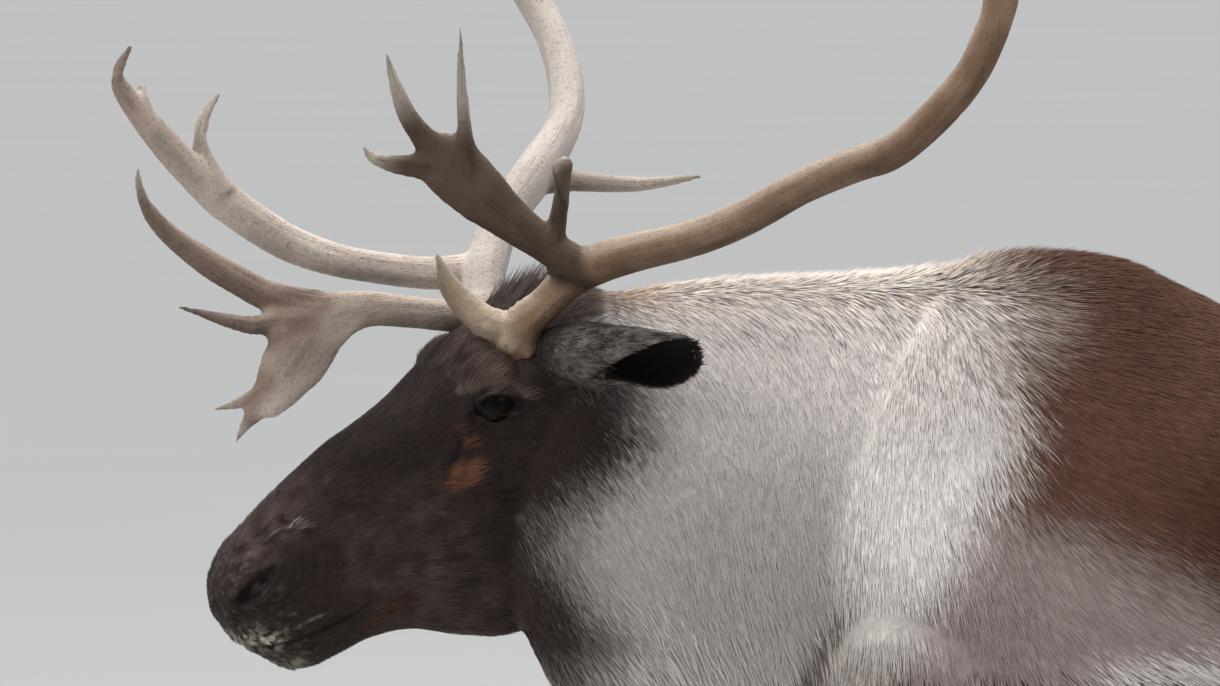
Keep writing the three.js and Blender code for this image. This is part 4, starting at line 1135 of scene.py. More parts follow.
def tuft_pieces(name, kind, spacing, blades=False, clump=(10, 0.3), weight=None, vary=0.06, mingle=0):
    """Objects full of tufts of one kind of skin, each under the limit of triangles."""
    places, normals, kinds = roots(kind, spacing, weight)
    way, length, lift, width, mane = fields(places, kinds, normals)
    count = len(places)
    length = length * draw.uniform(0.75, 1.15, count)
    width = width * draw.uniform(0.8, 1.2, count)
    lift = lift * draw.uniform(0.6, 1.35, count)
    sway = draw.normal(0, 0.1, count)[:, None]
    way = unit(way + np.cross(normals, way) * sway)
    side = unit(np.cross(way, normals))
    rise = np.radians(7)
    bend = lambda angle: way * np.cos(angle)[:, None] + normals * np.sin(angle)[:, None]
    depth = np.where(length < 16, 0.6, 1.2)
    lift = np.maximum(lift, np.arcsin(np.clip((depth + 1.1) / length, 0, 0.5)))
    base = places - normals * depth[:, None]
    middle = base + bend(lift + rise) * (0.5 * length)[:, None]
    tips = base + bend(lift) * length[:, None]
    tips[:, 2] -= 0.16 * mane * length
    tips, lead = clumped(places, tips, clump[0], clump[1] + 0.3 * mane)
    half, thick = (width / 2)[:, None], (0.34 * width)[:, None]
    if blades:
        points = [base - side * half * 0.7, base + side * half * 0.7, base + normals * thick * 0.7]
        points += [middle - side * half, middle + side * half, middle + normals * thick, tips]
        lean = np.array([-1, 1, 0, -1, 1, 0, 0])
        shade = np.array([0.84, 0.84, 0.86, 1, 1, 1.02, 1.08])
        faces = BLADE[:, [0, 2, 1]]
    else:
        points = [base - side * half, base + side * half, base + normals * thick, tips]
        lean = np.array([-1, 1, 0, 0])
        shade = np.array([0.9, 0.9, 0.92, 1.08])
        faces = SPIKE[:, [0, 2, 1]]
    points = np.stack(points, 1)
    size = points.shape[1]
    soft = unit(normals[:, None] + 0.35 * lean[:, None] * side[:, None])
    tint = (1 + draw.normal(0, vary, count)[lead] + draw.normal(0, 0.8 * vary, count))[:, None, None]
    colour = coat_colour(places + draw.normal(0, mingle, (count, 3)))[:, None] * tint * shade[:, None]
    if kind in ("neck", "trunk"):
        marked = crest_marks(places) > draw.random(count)
        dark = np.linspace(0.05, 0.9, size) ** 1.5 * draw.uniform(0.5, 1, (marked.sum(), 1))
        colour[marked] += (PAINT["speck"] - colour[marked]) * dark[:, :, None]
    patch = np.stack([lean, np.linspace(-1, 1, size)], 1) * PATCH / 2
    flat = unwrapped(places, kind)[:, None] + patch
    made = []
    most = 199_000 // len(faces)
    parts = int(np.ceil(count / most))
    for part in range(parts):
        mine = np.arange(part, count, parts)
        starts = np.arange(len(mine)) * size
        where = (faces[None] + starts[:, None, None]).reshape(-1, 3)
        label = f"{name}_{part + 1}" if parts > 1 else name
        mesh = mesh_from(label, points[mine].reshape(-1, 3), where)
        colours = np.ones((len(mine) * size, 4), np.float32)
        colours[:, :3] = np.clip(colour[mine].reshape(-1, 3), 0, 1)
        mesh.attributes.new("Coat", "FLOAT_COLOR", "POINT").data.foreach_set("color", colours.ravel())
        bake = mesh.uv_layers.new(name="OFBake")
        bake.data.foreach_set("uv", flat[mine].reshape(-1, 2)[where.ravel()].astype(np.float32).ravel())
        mesh.polygons.foreach_set("use_smooth", np.ones(len(where), bool))
        mesh.normals_split_custom_set_from_vertices(soft[mine].reshape(-1, 3).tolist())
        made.append(piece_from(label, mesh))
    print(label, count, "tufts,", count * len(faces), "triangles")
    return made


def crest_marks(points):
    """Share of clumps with dark hair, along the top of the neck and at the withers."""
    x, y, z = points.T
    band = step(1050, 1072, z) * step(1100, 1090, z) * step(-340, -290, x) * step(-60, -110, x)
    withers = step(985, 1050, z) * step(1108, 1092, z) * step(-140, -90, x) * step(10, -30, x)
    patchy = step(-0.3, 0.7, cloud(points, 6, 30))
    return 0.8 * np.maximum(band, withers) * patchy


# %% [markdown]
# The coat is grown in pieces by kind. The neck has the most and finest tufts, since it fills the
# middle of the view, and the face has short single spikes that only soften its outline.

# %% Grow the coat
FRONT = step(330, 120, tri_middle[:, 0])
FRINGE = step(MANE_FROM - 20, MANE_FROM + 20, tri_middle[:, 0]) * step(-0.1, -0.6, tri_normal[:, 2])
coat = {
    "coat_neck": tuft_pieces("coat_neck", "neck", 1.85, clump=(8, 0.22), vary=0.045, mingle=7),
    "coat_mane": tuft_pieces("coat_mane", "neck", 3.4, blades=True, clump=(9, 0.4), weight=FRINGE),
    "coat_trunk": tuft_pieces("coat_trunk", "trunk", 4.3, clump=(9, 0.22), weight=1 + 2.4 * FRONT, mingle=9),
    "coat_head": tuft_pieces("coat_head", "head", 2.4, clump=(5, 0.3), vary=0.16),
    "coat_ears": tuft_pieces("coat_ears", "ear", 2.1, clump=(5, 0.3), vary=0.16),
    "coat_legs": tuft_pieces("coat_legs", "leg", 4.2, clump=(6, 0.2), vary=0.1),
    "coat_tail": tuft_pieces("coat_tail", "tail", 3.6, blades=True, clump=(10, 0.4)),
}

# %% [markdown]
# A finish is easier to read as sums than as a web of wires, so one small class lets shader values
# be added and multiplied like numbers. Anything that stays the same all over a surface is set on
# the shader itself.

# %% Shader sums


class Wire:
    """A shader value that takes part in sums."""

    def __init__(self, tree, socket):
        self.tree, self.socket = tree, socket

    def maths(self, operation, *values):
        node = self.tree.nodes.new("ShaderNodeMath")
        node.operation = operation
        for slot, value in zip(node.inputs, values):
            fill(self.tree, slot, value)
        return Wire(self.tree, node.outputs[0])

    def __add__(self, other):
        return self.maths("ADD", self, other)

    def __radd__(self, other):
        return self.maths("ADD", other, self)

    def __sub__(self, other):
        return self.maths("SUBTRACT", self, other)

    def __rsub__(self, other):
        return self.maths("SUBTRACT", other, self)

    def __mul__(self, other):
        return self.maths("MULTIPLY", self, other)

    def __rmul__(self, other):
        return self.maths("MULTIPLY", other, self)

    def __truediv__(self, other):
        return self.maths("DIVIDE", self, other)

    def __rtruediv__(self, other):
        return self.maths("DIVIDE", other, self)

    def __pow__(self, other):
        return self.maths("POWER", self, other)


def fill(tree, slot, value):
    """Puts a number, a colour or a wire into a node's socket."""
    if isinstance(value, Wire):
        tree.links.new(value.socket, slot)
    else:
        slot.default_value = value


class Finish:
    """A material that is built up from values."""

    def __init__(self, name, **shader):
        self.material = bpy.data.materials.new(name)
        self.material.use_nodes = True
        self.tree = self.material.node_tree
        self.shader = self.tree.nodes["Principled BSDF"]
        for key, value in shader.items():
            self.set(key.replace("_", " ").title().replace("Ior", "IOR"), value)

    def set(self, name, value):
        fill(self.tree, self.shader.inputs[name], value)

    def node(self, kind, settings=None, values=None, output=0):
        """A node's output, with its settings made first and its sockets filled after."""
        node = self.tree.nodes.new(kind)
        for key, value in (settings or {}).items():
            setattr(node, key, value)
        for key, value in (values or {}).items():
            fill(self.tree, node.inputs[key], value)
        return Wire(self.tree, node.outputs[output])

    def attribute(self, name, output="Color"):
        return self.node("ShaderNodeAttribute", {"attribute_name": name}, output=output)

    def noise(self, scale, detail=3, where=None, rough=0.5):
        values = {"Scale": scale, "Detail": detail, "Roughness": rough}
        values["Vector"] = where or self.node("ShaderNodeTexCoord", output="Object")
        return self.node("ShaderNodeTexNoise", values=values)

    def stretched(self, where, x, y, z):
        return self.node("ShaderNodeVectorMath", {"operation": "MULTIPLY"}, {0: where, 1: (x, y, z)})

    def scaled(self, colour, amount):
        return self.node("ShaderNodeVectorMath", {"operation": "SCALE"}, {0: colour, "Scale": amount})

    def mix(self, share, one, other):
        return self.node("ShaderNodeMix", {"data_type": "RGBA"}, {0: share, 6: one, 7: other}, output=2)

    def bump(self, height, depth, strength=1.0):
        values = {"Height": height, "Distance": depth, "Strength": strength}
        self.set("Normal", self.node("ShaderNodeBump", values=values))


print("a finish has", len(Finish("trial").shader.inputs), "values to set")
bpy.data.materials.remove(bpy.data.materials["trial"])

# %% [markdown]
# Hair is keratin over a pith of air cells, so a reindeer's coat is dull and scatters light. The
# tufts carry their own colours and only a fine mottle is added. The skin shows between them as
# shorter hair: the same colours, a little darker, with a fine grain that runs along the lie.

# %% Coat finishes


def coat_finish():
    """Dull hair with a fine mottle."""
    hair = Finish("coat_hair", roughness=0.75, specular_ior_level=0.12, sheen_weight=0.03, sheen_roughness=0.5)
    mottle = hair.noise(420, 2)
    hair.set("Base Color", hair.scaled(hair.attribute("Coat"), 0.82 + 0.36 * mottle))
    return hair.material


def skin_finish():
    """The short under-hair that shows between tufts, with its grain along the lie."""
    skin = Finish("coat_skin", roughness=0.8, specular_ior_level=0.12, sheen_weight=0.02, sheen_roughness=0.5)
    body = skin.noise(1, 4, skin.attribute("Grain", "Vector"), 0.6)
    limb = skin.noise(1, 4, skin.attribute("LimbGrain", "Vector"), 0.6)
    grain = body + (limb - body) * skin.attribute("Limb", "Fac")
    fine = skin.noise(900, 2)
    skin.set("Base Color", skin.scaled(skin.attribute("Coat"), 0.58 + 0.7 * grain + 0.2 * fine))
    skin.bump(grain + 0.3 * fine, 0.002, 1.0)
    return skin.material


COAT_FINISH = coat_finish()
for pieces in coat.values():
    for piece in pieces:
        piece.data.materials.append(COAT_FINISH)

GRAIN = {"fine": 0.42, "long": 0.07}
own = own_head(skin_points)
grain = skin_points * [GRAIN["long"], GRAIN["fine"], GRAIN["fine"] * 0.5]
leg_grain = skin_points * [GRAIN["fine"], GRAIN["fine"], GRAIN["long"]]
head_grain = own * [GRAIN["long"] * 1.4, GRAIN["fine"], GRAIN["fine"] * 0.7]
in_front = skin_points[:, 0] < -150
limb_grain = np.where(in_front[:, None], head_grain, leg_grain)
limb = np.where(in_front, step(60, -40, past_face(own)), step(690, 600, skin_points[:, 2]))
skin_mesh = mesh_from("skin", *outward(skin_points, skin_faces))
for name, values in (("Grain", grain), ("LimbGrain", limb_grain)):
    skin_mesh.attributes.new(name, "FLOAT_VECTOR", "POINT").data.foreach_set("vector", values.astype(np.float32).ravel())
skin_mesh.attributes.new("Limb", "FLOAT", "POINT").data.foreach_set("value", limb.astype(np.float32))
colours = np.ones((len(skin_points), 4), np.float32)
colours[:, :3] = np.clip(coat_colour(skin_points) * 0.92, 0, 1)
skin_mesh.attributes.new("Coat", "FLOAT_COLOR", "POINT").data.foreach_set("color", colours.ravel())
skin_mesh.polygons.foreach_set("use_smooth", np.ones(len(skin_faces), bool))
skin_mesh.materials.append(skin_finish())
skin = piece_from("skin", skin_mesh)

FLESH = ["head", "neck", "torso", "tail", "ear_left", "ear_right"]
FLESH += [f"{leg['name']}_{part}" for leg in LEGS for part in ("upper", "lower")]
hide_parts(*FLESH)
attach(skin, "root")
for name, pieces in coat.items():
    for piece in pieces:
        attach(piece, "root")
        slot = {"coat_neck": "pale_coat", "coat_mane": "pale_coat", "coat_trunk": "brown_coat", "coat_legs": "leg_coat"}
        slot.get(name, "tail_coat" if name == "coat_tail" else "dark_coat")
print("skin stands for", len(FLESH), "solids")

# %% [markdown]
# An antler is bone that grew under velvet. It keeps the furrows of the blood vessels that fed it,
# runs from a rough burr up a smooth beam, and is worn pale at the tips. Each branch is a bar that
# bends and tapers, and all the bars of one side are melted together.

# %% Antler branches
BURR = {"ahead": 38, "out": 45, "up": 40, "radius": 22.5}


def burr_at(side):
    return on_head([BURR["ahead"], side * BURR["out"], BURR["up"]]).tolist()


def pedicle_at(side):
    return on_head([46, side * 41, 18]).tolist()


LEFT_BEAM = [
    [*pedicle_at(-1), 20, 20],
    [*burr_at(-1), 21, 21],
    [-435, -89, 1068, 17, 17],
    [-419, -94, 1083, 15, 15],
    [-403, -100, 1099, 16, 15.5],
    [-384, -110, 1114, 18, 16],
    [-343, -150, 1129, 16, 16],
    [-295, -192, 1143, 15, 15],
    [-249, -232, 1164, 15, 14.5],
    [-212, -262, 1186, 15, 14.5],
    [-170, -295, 1206, 15, 14],
    [-139, -315, 1218, 15, 14],
    [-111, -335, 1241, 15, 14],
    [-84, -352, 1272, 15, 14],
    [-65, -361, 1306, 14.5, 14],
    [-54, -362, 1345, 14.5, 13],
    [-58, -354, 1395, 15, 12.5],
    [-82, -340, 1445, 19, 12],
    [-120, -322, 1488, 27, 11],
    [-168, -302, 1520, 30, 9.5],
    [-208, -287, 1540, 20, 8],
]
RIGHT_BEAM = [
    [*pedicle_at(1), 20, 20],
    [*burr_at(1), 21, 21],
    [-472, 22, 1086, 19, 18],
    [-469, 42, 1110, 20, 18],
    [-456, 78, 1146, 20, 17],
    [-430, 118, 1182, 24, 17],
    [-406, 160, 1220, 19, 16],
    [-403, 198, 1258, 16.5, 15],
    [-414, 232, 1295, 15, 14],
    [-433, 258, 1330, 15, 13.5],
    [-462, 275, 1378, 15, 13],
    [-505, 281, 1424, 19, 12],
    [-556, 274, 1462, 27, 11],
    [-610, 256, 1490, 29, 9.5],
    [-650, 240, 1500, 19, 8],
]
LEFT_BROW = [
    [-446, -86, 1060, 13, 12], [-467, -84, 1067, 14, 11], [-486, -84, 1083, 12, 9],
    [-500, -88, 1101, 8.5, 7], [-509, -92, 1125, 2, 2],
]
LEFT_KNOB = [
    [-404, -114, 1112, 14, 11], [-410, -122, 1137, 12, 9], [-407, -130, 1160, 14, 7],
    [-404, -137, 1180, 18, 6], [-404, -143, 1196, 14, 5], [-407, -146, 1206, 6, 3],
]
LEFT_BEZ = [
    [-386, -114, 1113, 16, 14], [-416, -125, 1132, 15, 11.5], [-446, -138, 1154, 19, 9],
    [-474, -150, 1179, 26, 7.5], [-500, -160, 1204, 27, 6.5], [-515, -165, 1217, 15, 5],
]
LEFT_BEZ_TINES = [
    [
        [-490, -158, 1196, 13, 5], [-525, -166, 1200, 11, 6], [-549, -168, 1203, 7, 5],
        [-560, -168, 1208, 5, 4], [-567, -168, 1216, 1.6, 1.6],
    ],
    [
        [-496, -158, 1198, 14, 5], [-525, -171, 1233, 10.5, 6], [-539, -181, 1262, 7, 5],
        [-548, -190, 1294, 1.6, 1.6],
    ],
    [
        [-476, -151, 1182, 12, 5], [-483, -159, 1219, 9, 6], [-486, -169, 1262, 6, 5],
        [-487, -182, 1314, 1.6, 1.6],
    ],
]
LEFT_CROWN_TINES = [
    [
        [-112, -325, 1478, 14, 8], [-92, -314, 1528, 9, 7], [-84, -300, 1580, 2, 2],
    ],
    [
        [-160, -305, 1520, 15, 8], [-150, -290, 1575, 10, 7], [-156, -274, 1640, 2, 2],
    ],
    [
        [-196, -291, 1536, 14, 7], [-226, -270, 1585, 9, 6], [-240, -254, 1636, 2, 2],
    ],
    [
        [-196, -291, 1532, 14, 7], [-252, -266, 1551, 9, 6], [-304, -242, 1580, 2, 2],
    ],
]
RIGHT_BROW = [
    [-462, 4, 1064, 14, 14], [-499, -26, 1069, 13.5, 11], [-536, -42, 1074, 14, 10],
    [-572, -50, 1076, 17, 9], [-604, -57, 1064, 27, 8], [-625, -65, 1038, 32, 7],
    [-642, -72, 1012, 24, 6], [-656, -76, 992, 14, 5],
]
RIGHT_BROW_TINES = [
    [
        [-606, -56, 1077, 18, 5], [-646, -66, 1087, 14.5, 7], [-673, -76, 1101, 13, 7],
        [-700, -86, 1118, 12, 6.5], [-726, -97, 1138, 9.5, 5.5], [-744, -106, 1158, 7, 4.5],
        [-752, -111, 1176, 4.5, 3.5], [-755, -114, 1198, 1.5, 1.5],
    ],
    [
        [-612, -60, 1062, 16, 5], [-640, -68, 1066, 12, 6], [-662, -80, 1064, 9, 5.5],
        [-690, -92, 1071, 6, 4.5], [-722, -102, 1081, 1.5, 1.5],
    ],
    [
        [-644, -73, 1012, 12, 4.5], [-670, -79, 1001, 7.5, 4.5], [-694, -86, 995, 1.5, 1.5],
    ],
    [
        [-652, -75, 998, 11, 4], [-667, -78, 983, 6.5, 4], [-677, -81, 966, 1.5, 1.5],
    ],
]
RIGHT_BEZ = [
    [-474, 44, 1104, 16, 14], [-517, 44, 1102, 14.5, 12], [-559, 44, 1106, 14, 11],
    [-601, 40, 1114, 14.5, 10.5], [-643, 32, 1131, 16, 10], [-685, 20, 1160, 17, 9],
    [-726, 6, 1198, 14, 8], [-759, -6, 1238, 11, 7], [-777, -15, 1268, 7, 5],
    [-765, -22, 1296, 2, 2],
]
RIGHT_BEZ_TINES = [
    [
        [-692, 16, 1168, 13, 8], [-709, 20, 1204, 9, 6], [-707, 26, 1233, 6, 5],
        [-694, 34, 1254, 2, 2],
    ],
    [
        [-752, -4, 1232, 8, 6], [-757, -2, 1250, 6.5, 5], [-758, 4, 1262, 4, 3.5],
    ],
]
RIGHT_REAR = [
    [-426, 122, 1178, 15, 12], [-396, 142, 1175, 9.5, 8], [-339, 172, 1171, 6.5, 6],
    [-286, 195, 1177, 2, 2],
]
RIGHT_CROWN_TINES = [
    [
        [-545, 272, 1455, 14, 8], [-522, 258, 1512, 9, 7], [-512, 246, 1566, 2, 2],
    ],
    [
        [-596, 258, 1484, 15, 8], [-588, 244, 1545, 10, 7], [-596, 232, 1604, 2, 2],
    ],
    [
        [-636, 245, 1498, 14, 7], [-668, 230, 1542, 9, 6], [-682, 220, 1590, 2, 2],
    ],
    [
        [-634, 245, 1494, 14, 7], [-688, 224, 1506, 9, 6], [-738, 204, 1530, 2, 2],
    ],
]
# Branches of each side with the colour that each has weathered to; the right beam's cream is partly painted sunlight
ANTLERS = {
    "left": [
        (LEFT_BEAM, "brown"), (LEFT_BROW, "tan"), (LEFT_KNOB, "dark"), (LEFT_BEZ, "dark"),
        *((rows, "dark") for rows in LEFT_BEZ_TINES), *((rows, "brown") for rows in LEFT_CROWN_TINES),
    ],
    "right": [
        (RIGHT_BEAM, "cream"), (RIGHT_BROW, "grey"), *((rows, "dusk") for rows in RIGHT_BROW_TINES),
        (RIGHT_BEZ, "pale"), *((rows, "grey") for rows in RIGHT_BEZ_TINES), (RIGHT_REAR, "grey"),
        *((rows, "brown") for rows in RIGHT_CROWN_TINES),
    ],
}
# Middles of the palms, whose tines are rounded into one plate
PALMS = {"left": [[-490, -158, 1196]], "right": [[-612, -60, 1062], [-640, -72, 1020]]}
print({side: len(branches) for side, branches in ANTLERS.items()}, "branches")

# %% [markdown]
# The bars are laid on a fine grid and melted together, so that forks have the webbed look of real
# ones. The furrows follow each branch, found from the nearest place on its middle line.

# %% Antlers
UPRIGHT = unit(np.array([0.1, 0, 1]))
PALM_WAY = unit(np.array([0.35, 0.1, 0.93]))
ANTLER_VOXEL = 2.3


def horn_line(rows, steps=7):
    """Middle line of a bar with its directions and half sizes."""
    fine = finer(rows, steps)
    middle = fine[:, :3]
    return middle, unit(np.gradient(middle, axis=0)), fine[:, 3:4], fine[:, 4:5]


def horn_part(rows, broad, sides=26):
    """A bar that bends and tapers along its rows, broad in one direction."""
    middle, along, wide, thin = horn_line(rows)
    across = unit(broad - along * (along @ broad)[:, None])
    out = np.cross(along, across)
    c, s = np.cos(turn(sides))[None, :, None], np.sin(turn(sides))[None, :, None]
    rings = middle[:, None] + across[:, None] * wide[:, None] * c + out[:, None] * thin[:, None] * s
    return loft(rings)


def burr_part(side):
    """The rough collar where the antler leaves the skull."""
    beam = LEFT_BEAM if side < 0 else RIGHT_BEAM
    foot = np.array(burr_at(side))
    way = unit(np.array(beam[2][:3]) - foot)
    across = unit(np.array([0, 0, 1]) - way * way[2])
    out = np.cross(way, across)
    levels = [[-6, 0.84], [-2, 1.0], [2, 1.06], [6, 1.0], [10, 0.8]]
    knobs = 1 + 0.05 * np.sin(7 * turn(60)) + 0.04 * np.sin(11 * turn(60) + 1)
    radius = BURR["radius"] * knobs
    rings = [
        foot + way * lift + size * radius[:, None] * (across * np.cos(turn(60))[:, None] + out * np.sin(turn(60))[:, None])
        for lift, size in levels
    ]
    return loft(np.array(rings))


# Paint of each tone, and how much wear and painted top light lighten it
BONE = {
    # pale cream of the right beam, partly painted sunlight
    "cream": [paint(174, 165, 158), 0.25],
    "pale": [paint(190, 176, 165), 0.7],
    "tan": [paint(158, 137, 116), 0.6],
    "grey": [paint(160, 144, 132), 0.35],
    "dusk": [paint(128, 107, 95), 0.35],
    "brown": [paint(120, 92, 70), 0.6],
    "dark": [paint(74, 56, 42), 0.14],
}
WORN_AND_LIT_BONE = paint(194, 182, 169)
STAIN_AND_SHADE = paint(46, 33, 24)


def antler_colour(tones, normals, furrow, blotch, tip, from_burr):
    """Weathered bone: stained in the furrows and pale at the tips, lightened on top as painted light and darkened below
    as painted shade.
    """
    colour = np.array([BONE[tone][0] for tone in tones])
    wear_and_light = np.array([BONE[tone][1] for tone in tones])
    # painted light: faces that look up are lightened
    top = step(-0.1, 0.9, normals[:, 2])
    worn_and_lit = wear_and_light * np.clip(0.75 * top + 0.2 * furrow + 0.15 * blotch, 0, 0.9)
    colour = colour + (WORN_AND_LIT_BONE - colour) * worn_and_lit[:, None]
    # painted shade: faces that look down are darkened
    under = step(0.25, -0.8, normals[:, 2])
    stain_and_shade = np.clip(0.55 * under - 0.22 * furrow - 0.2 * blotch + 0.02, 0, 0.7) * np.where(wear_and_light == 0.25, 0.35, 1)
    stain_and_shade = np.maximum(stain_and_shade, 0.55 * step(30, 18, from_burr))
    colour = colour + (STAIN_AND_SHADE - colour) * (stain_and_shade * (1 - 0.7 * tip))[:, None]
    return colour + (WORN_AND_LIT_BONE - colour) * (0.75 * tip)[:, None]


def antler(side_name):
    """One antler as a single skin with furrows, and the colours and grain that go with it."""
    side = -1 if side_name == "left" else 1
    branches = [rows for rows, _ in ANTLERS[side_name]]
    tones = np.array([tone for _, tone in ANTLERS[side_name]])
    ways = [PALM_WAY if rows[0][2] > 1400 or i == 0 else UPRIGHT for i, rows in enumerate(branches)]
    parts = [horn_part(rows, way) for rows, way in zip(branches, ways)]
    points, faces = fused(f"antler_{side_name}", [*parts, burr_part(side)], ANTLER_VOXEL)
    edges = edges_of(faces)
    points = relaxed(points, edges, 7)
    gap, _ = to_line(points, np.array(PALMS[side_name], float))
    palm = np.exp(-((gap / 50) ** 2))
    points = relaxed(points, edges, 40, palm)
    points = relaxed(points, edges, 24, 0.7 * palm, keep_volume=False)
    normals = normals_of(points, faces)
    lines = [horn_line(rows) for rows in branches]
    middle = np.vstack([line[0] for line in lines])
    way = np.vstack([line[1] for line in lines])
    walked = np.hstack([np.r_[0, np.linalg.norm(np.diff(line[0], axis=0), axis=1).cumsum()] for line in lines])
    share = np.hstack([np.linspace(0, 1, len(line[0])) for line in lines])
    branch = np.repeat(np.arange(len(lines)), [len(line[0]) for line in lines])
    _, at = nearest(points, middle)
    gaps = np.stack([nearest(points, line[0])[0] for line in lines], 1)
    first, second = np.partition(gaps, 1, axis=1)[:, :2].T
    clear = step(1, 10, second - first)
    off = unit(points - middle[at] - way[at] * ((points - middle[at]) * way[at]).sum(1, keepdims=True))
    grain = np.column_stack([walked[at] / 70 + branch[at] * 5, off[:, 0] * 1.5, off[:, 2] * 1.5])
    furrow = cloud(grain * [1, 2.2, 2.2] + 3, 1, 40) + 0.5 * cloud(grain * [1.6, 5, 5] + 3, 1, 43)
    blotch = cloud(points, 34, 44) + 0.6 * cloud(points, 11, 45)
    from_burr = np.linalg.norm(points - burr_at(side), axis=1)
    pearls = step(70, 25, from_burr) * np.maximum(cloud(points, 5, 41), 0)
    pits = np.maximum(cloud(points, 4.5, 46) - 0.45, 0)
    points = points + normals * (clear * (0.75 * furrow - 0.4 - 1.2 * pits) + 1.8 * pearls)[:, None]
    of_tine = (branch[at] > 3) & (walked[at] > 20)
    tip = np.maximum(step(0.8, 1, share[at]) * (branch[at] > 0), step(0.3, 0.75, share[at]) * of_tine)
    tip = tip * (walked[at] > 20) * (branch[at] != 3)
    colour = antler_colour(tones[branch[at]], normals, furrow * clear, blotch, tip, from_burr)
    far = step(0.45, 0.8, share[at]) * (tones[branch[at]] == "pale")
    colour = colour + (BONE["dusk"][0] - colour) * (0.75 * far)[:, None]
    colour = relaxed(colour, edges, 16, 0.8 * (1 - 0.7 * clear), keep_volume=False)
    mesh = mesh_from(f"antler_{side_name}", points, faces)
    colours = np.ones((len(points), 4), np.float32)
    colours[:, :3] = np.clip(colour, 0, 1)
    mesh.attributes.new("Coat", "FLOAT_COLOR", "POINT").data.foreach_set("color", colours.ravel())
    mesh.attributes.new("Grain", "FLOAT_VECTOR", "POINT").data.foreach_set("vector", grain.astype(np.float32).ravel())
    mesh.attributes.new("Clear", "FLOAT", "POINT").data.foreach_set("value", clear.astype(np.float32))
    mesh.polygons.foreach_set("use_smooth", np.ones(len(faces), bool))
    print(side_name, "antler:", len(faces), "triangles")
    return piece_from(f"antler_{side_name}", mesh)


def antler_finish():
    """Worn bone with fine streaks along each branch."""
    bone = Finish("antler_bone_finish", specular_ior_level=0.3)
    where = bone.attribute("Grain", "Vector")
    streaks = bone.noise(1, 4, bone.stretched(where, 1.2, 9, 9), 0.6)
    streaks = 0.5 + (streaks - 0.5) * bone.attribute("Clear", "Fac")
    fine = bone.noise(500, 3)
    dots = bone.noise(300, 2) - 0.56
    speck = 2.0 * dots.maths("MAXIMUM", dots, 0.0)
    bone.set("Base Color", bone.scaled(bone.attribute("Coat"), 0.72 + 0.4 * streaks + 0.2 * fine - speck))
    bone.set("Roughness", 0.5 + 0.25 * streaks)
    bone.bump(streaks + 0.5 * fine, 0.002, 1.0)
    return bone.material


ANTLER_FINISH = antler_finish()
nodes = list(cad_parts)
for side_name in ANTLERS:
    piece = antler(side_name)
    piece.data.materials.append(ANTLER_FINISH)
    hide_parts(*[name for name in nodes if name.startswith(f"antler_{side_name}")])
    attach(piece, "root")

# %% [markdown]
# The eye is nearly black, with a wide lying pupil and a clear domed front. It is always wet, so
# it takes one sharp light from the sky.

# %% Eyes


def eye_piece(side, name):
    """A ball with a slightly domed front."""
    points, faces = ball_part(np.array([EYE["ahead"], side * EYE["out"], EYE["up"]]), EYE["radius"] * np.ones(3), 64)
    own = own_head(points) - [EYE["ahead"], side * EYE["out"], EYE["up"]]
    front = side * own[:, 1] / EYE["radius"]
    own *= (1 + 0.03 * step(0.6, 1, front))[:, None]
    points = on_head(own + [EYE["ahead"], side * EYE["out"], EYE["up"]])
    mesh = mesh_from(name, points, faces)
    c, s = np.cos(LID["tilt"]), np.sin(LID["tilt"])
    along, up = own[:, 0] * c + own[:, 2] * s, own[:, 2] * c - own[:, 0] * s
    pupil = step(1.1, 0.85, np.hypot(along / 9.5, up / 5.5)) * (front > 0)
    iris = step(1.08, 0.92, np.hypot(along, up) / 13.5) * (front > 0)
    colour = np.repeat(paint(13, 10, 10)[None], len(points), 0)
    colour = colour + (paint(22, 14, 10) - colour) * iris[:, None]
    colour = colour + (paint(6, 6, 8) - colour) * pupil[:, None]
    colours = np.ones((len(points), 4), np.float32)
    colours[:, :3] = colour
    mesh.attributes.new("Coat", "FLOAT_COLOR", "POINT").data.foreach_set("color", colours.ravel())
    mesh.polygons.foreach_set("use_smooth", np.ones(len(faces), bool))
    return piece_from(name, mesh)


def eye_finish():
    """Dark and wet, with a faint fine grain all over."""
    eye = Finish("eye_wet", coat_weight=0.04, coat_roughness=0.03, specular_ior_level=0.03)
    fibres = eye.noise(300, 3)
    eye.set("Base Color", eye.scaled(eye.attribute("Coat"), 0.7 + 0.6 * fibres))
    eye.set("Roughness", 0.1 + 0.08 * fibres)
    return eye.material


EYE_FINISH = eye_finish()
for side, name in ((-1, "left"), (1, "right")):
    piece = eye_piece(side, f"eyeball_{name}")
    piece.data.materials.append(EYE_FINISH)
    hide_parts(f"eye_{name}")
    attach(piece, "root")
print("eyes made")

# %% [markdown]
# A reindeer stands on two broad half-moon claws on each foot, with two dewclaws behind that reach
# low enough to help on snow. The horn grows down in rings and is scuffed at the toe.

# %% Hooves
CLAW = {"height": 50.7, "length": 104, "width": 46, "between": 7, "splay": 7}
CLAW_LEVELS = [[0, 1, 0], [7, 1.02, 0], [26, 0.9, 5], [50.7, 0.72, 14]]
DEWCLAW = [[12, 17, 104, 12], [30, 21, 92, 13], [44, 24, 74, 11], [50, 25, 58, 6]]


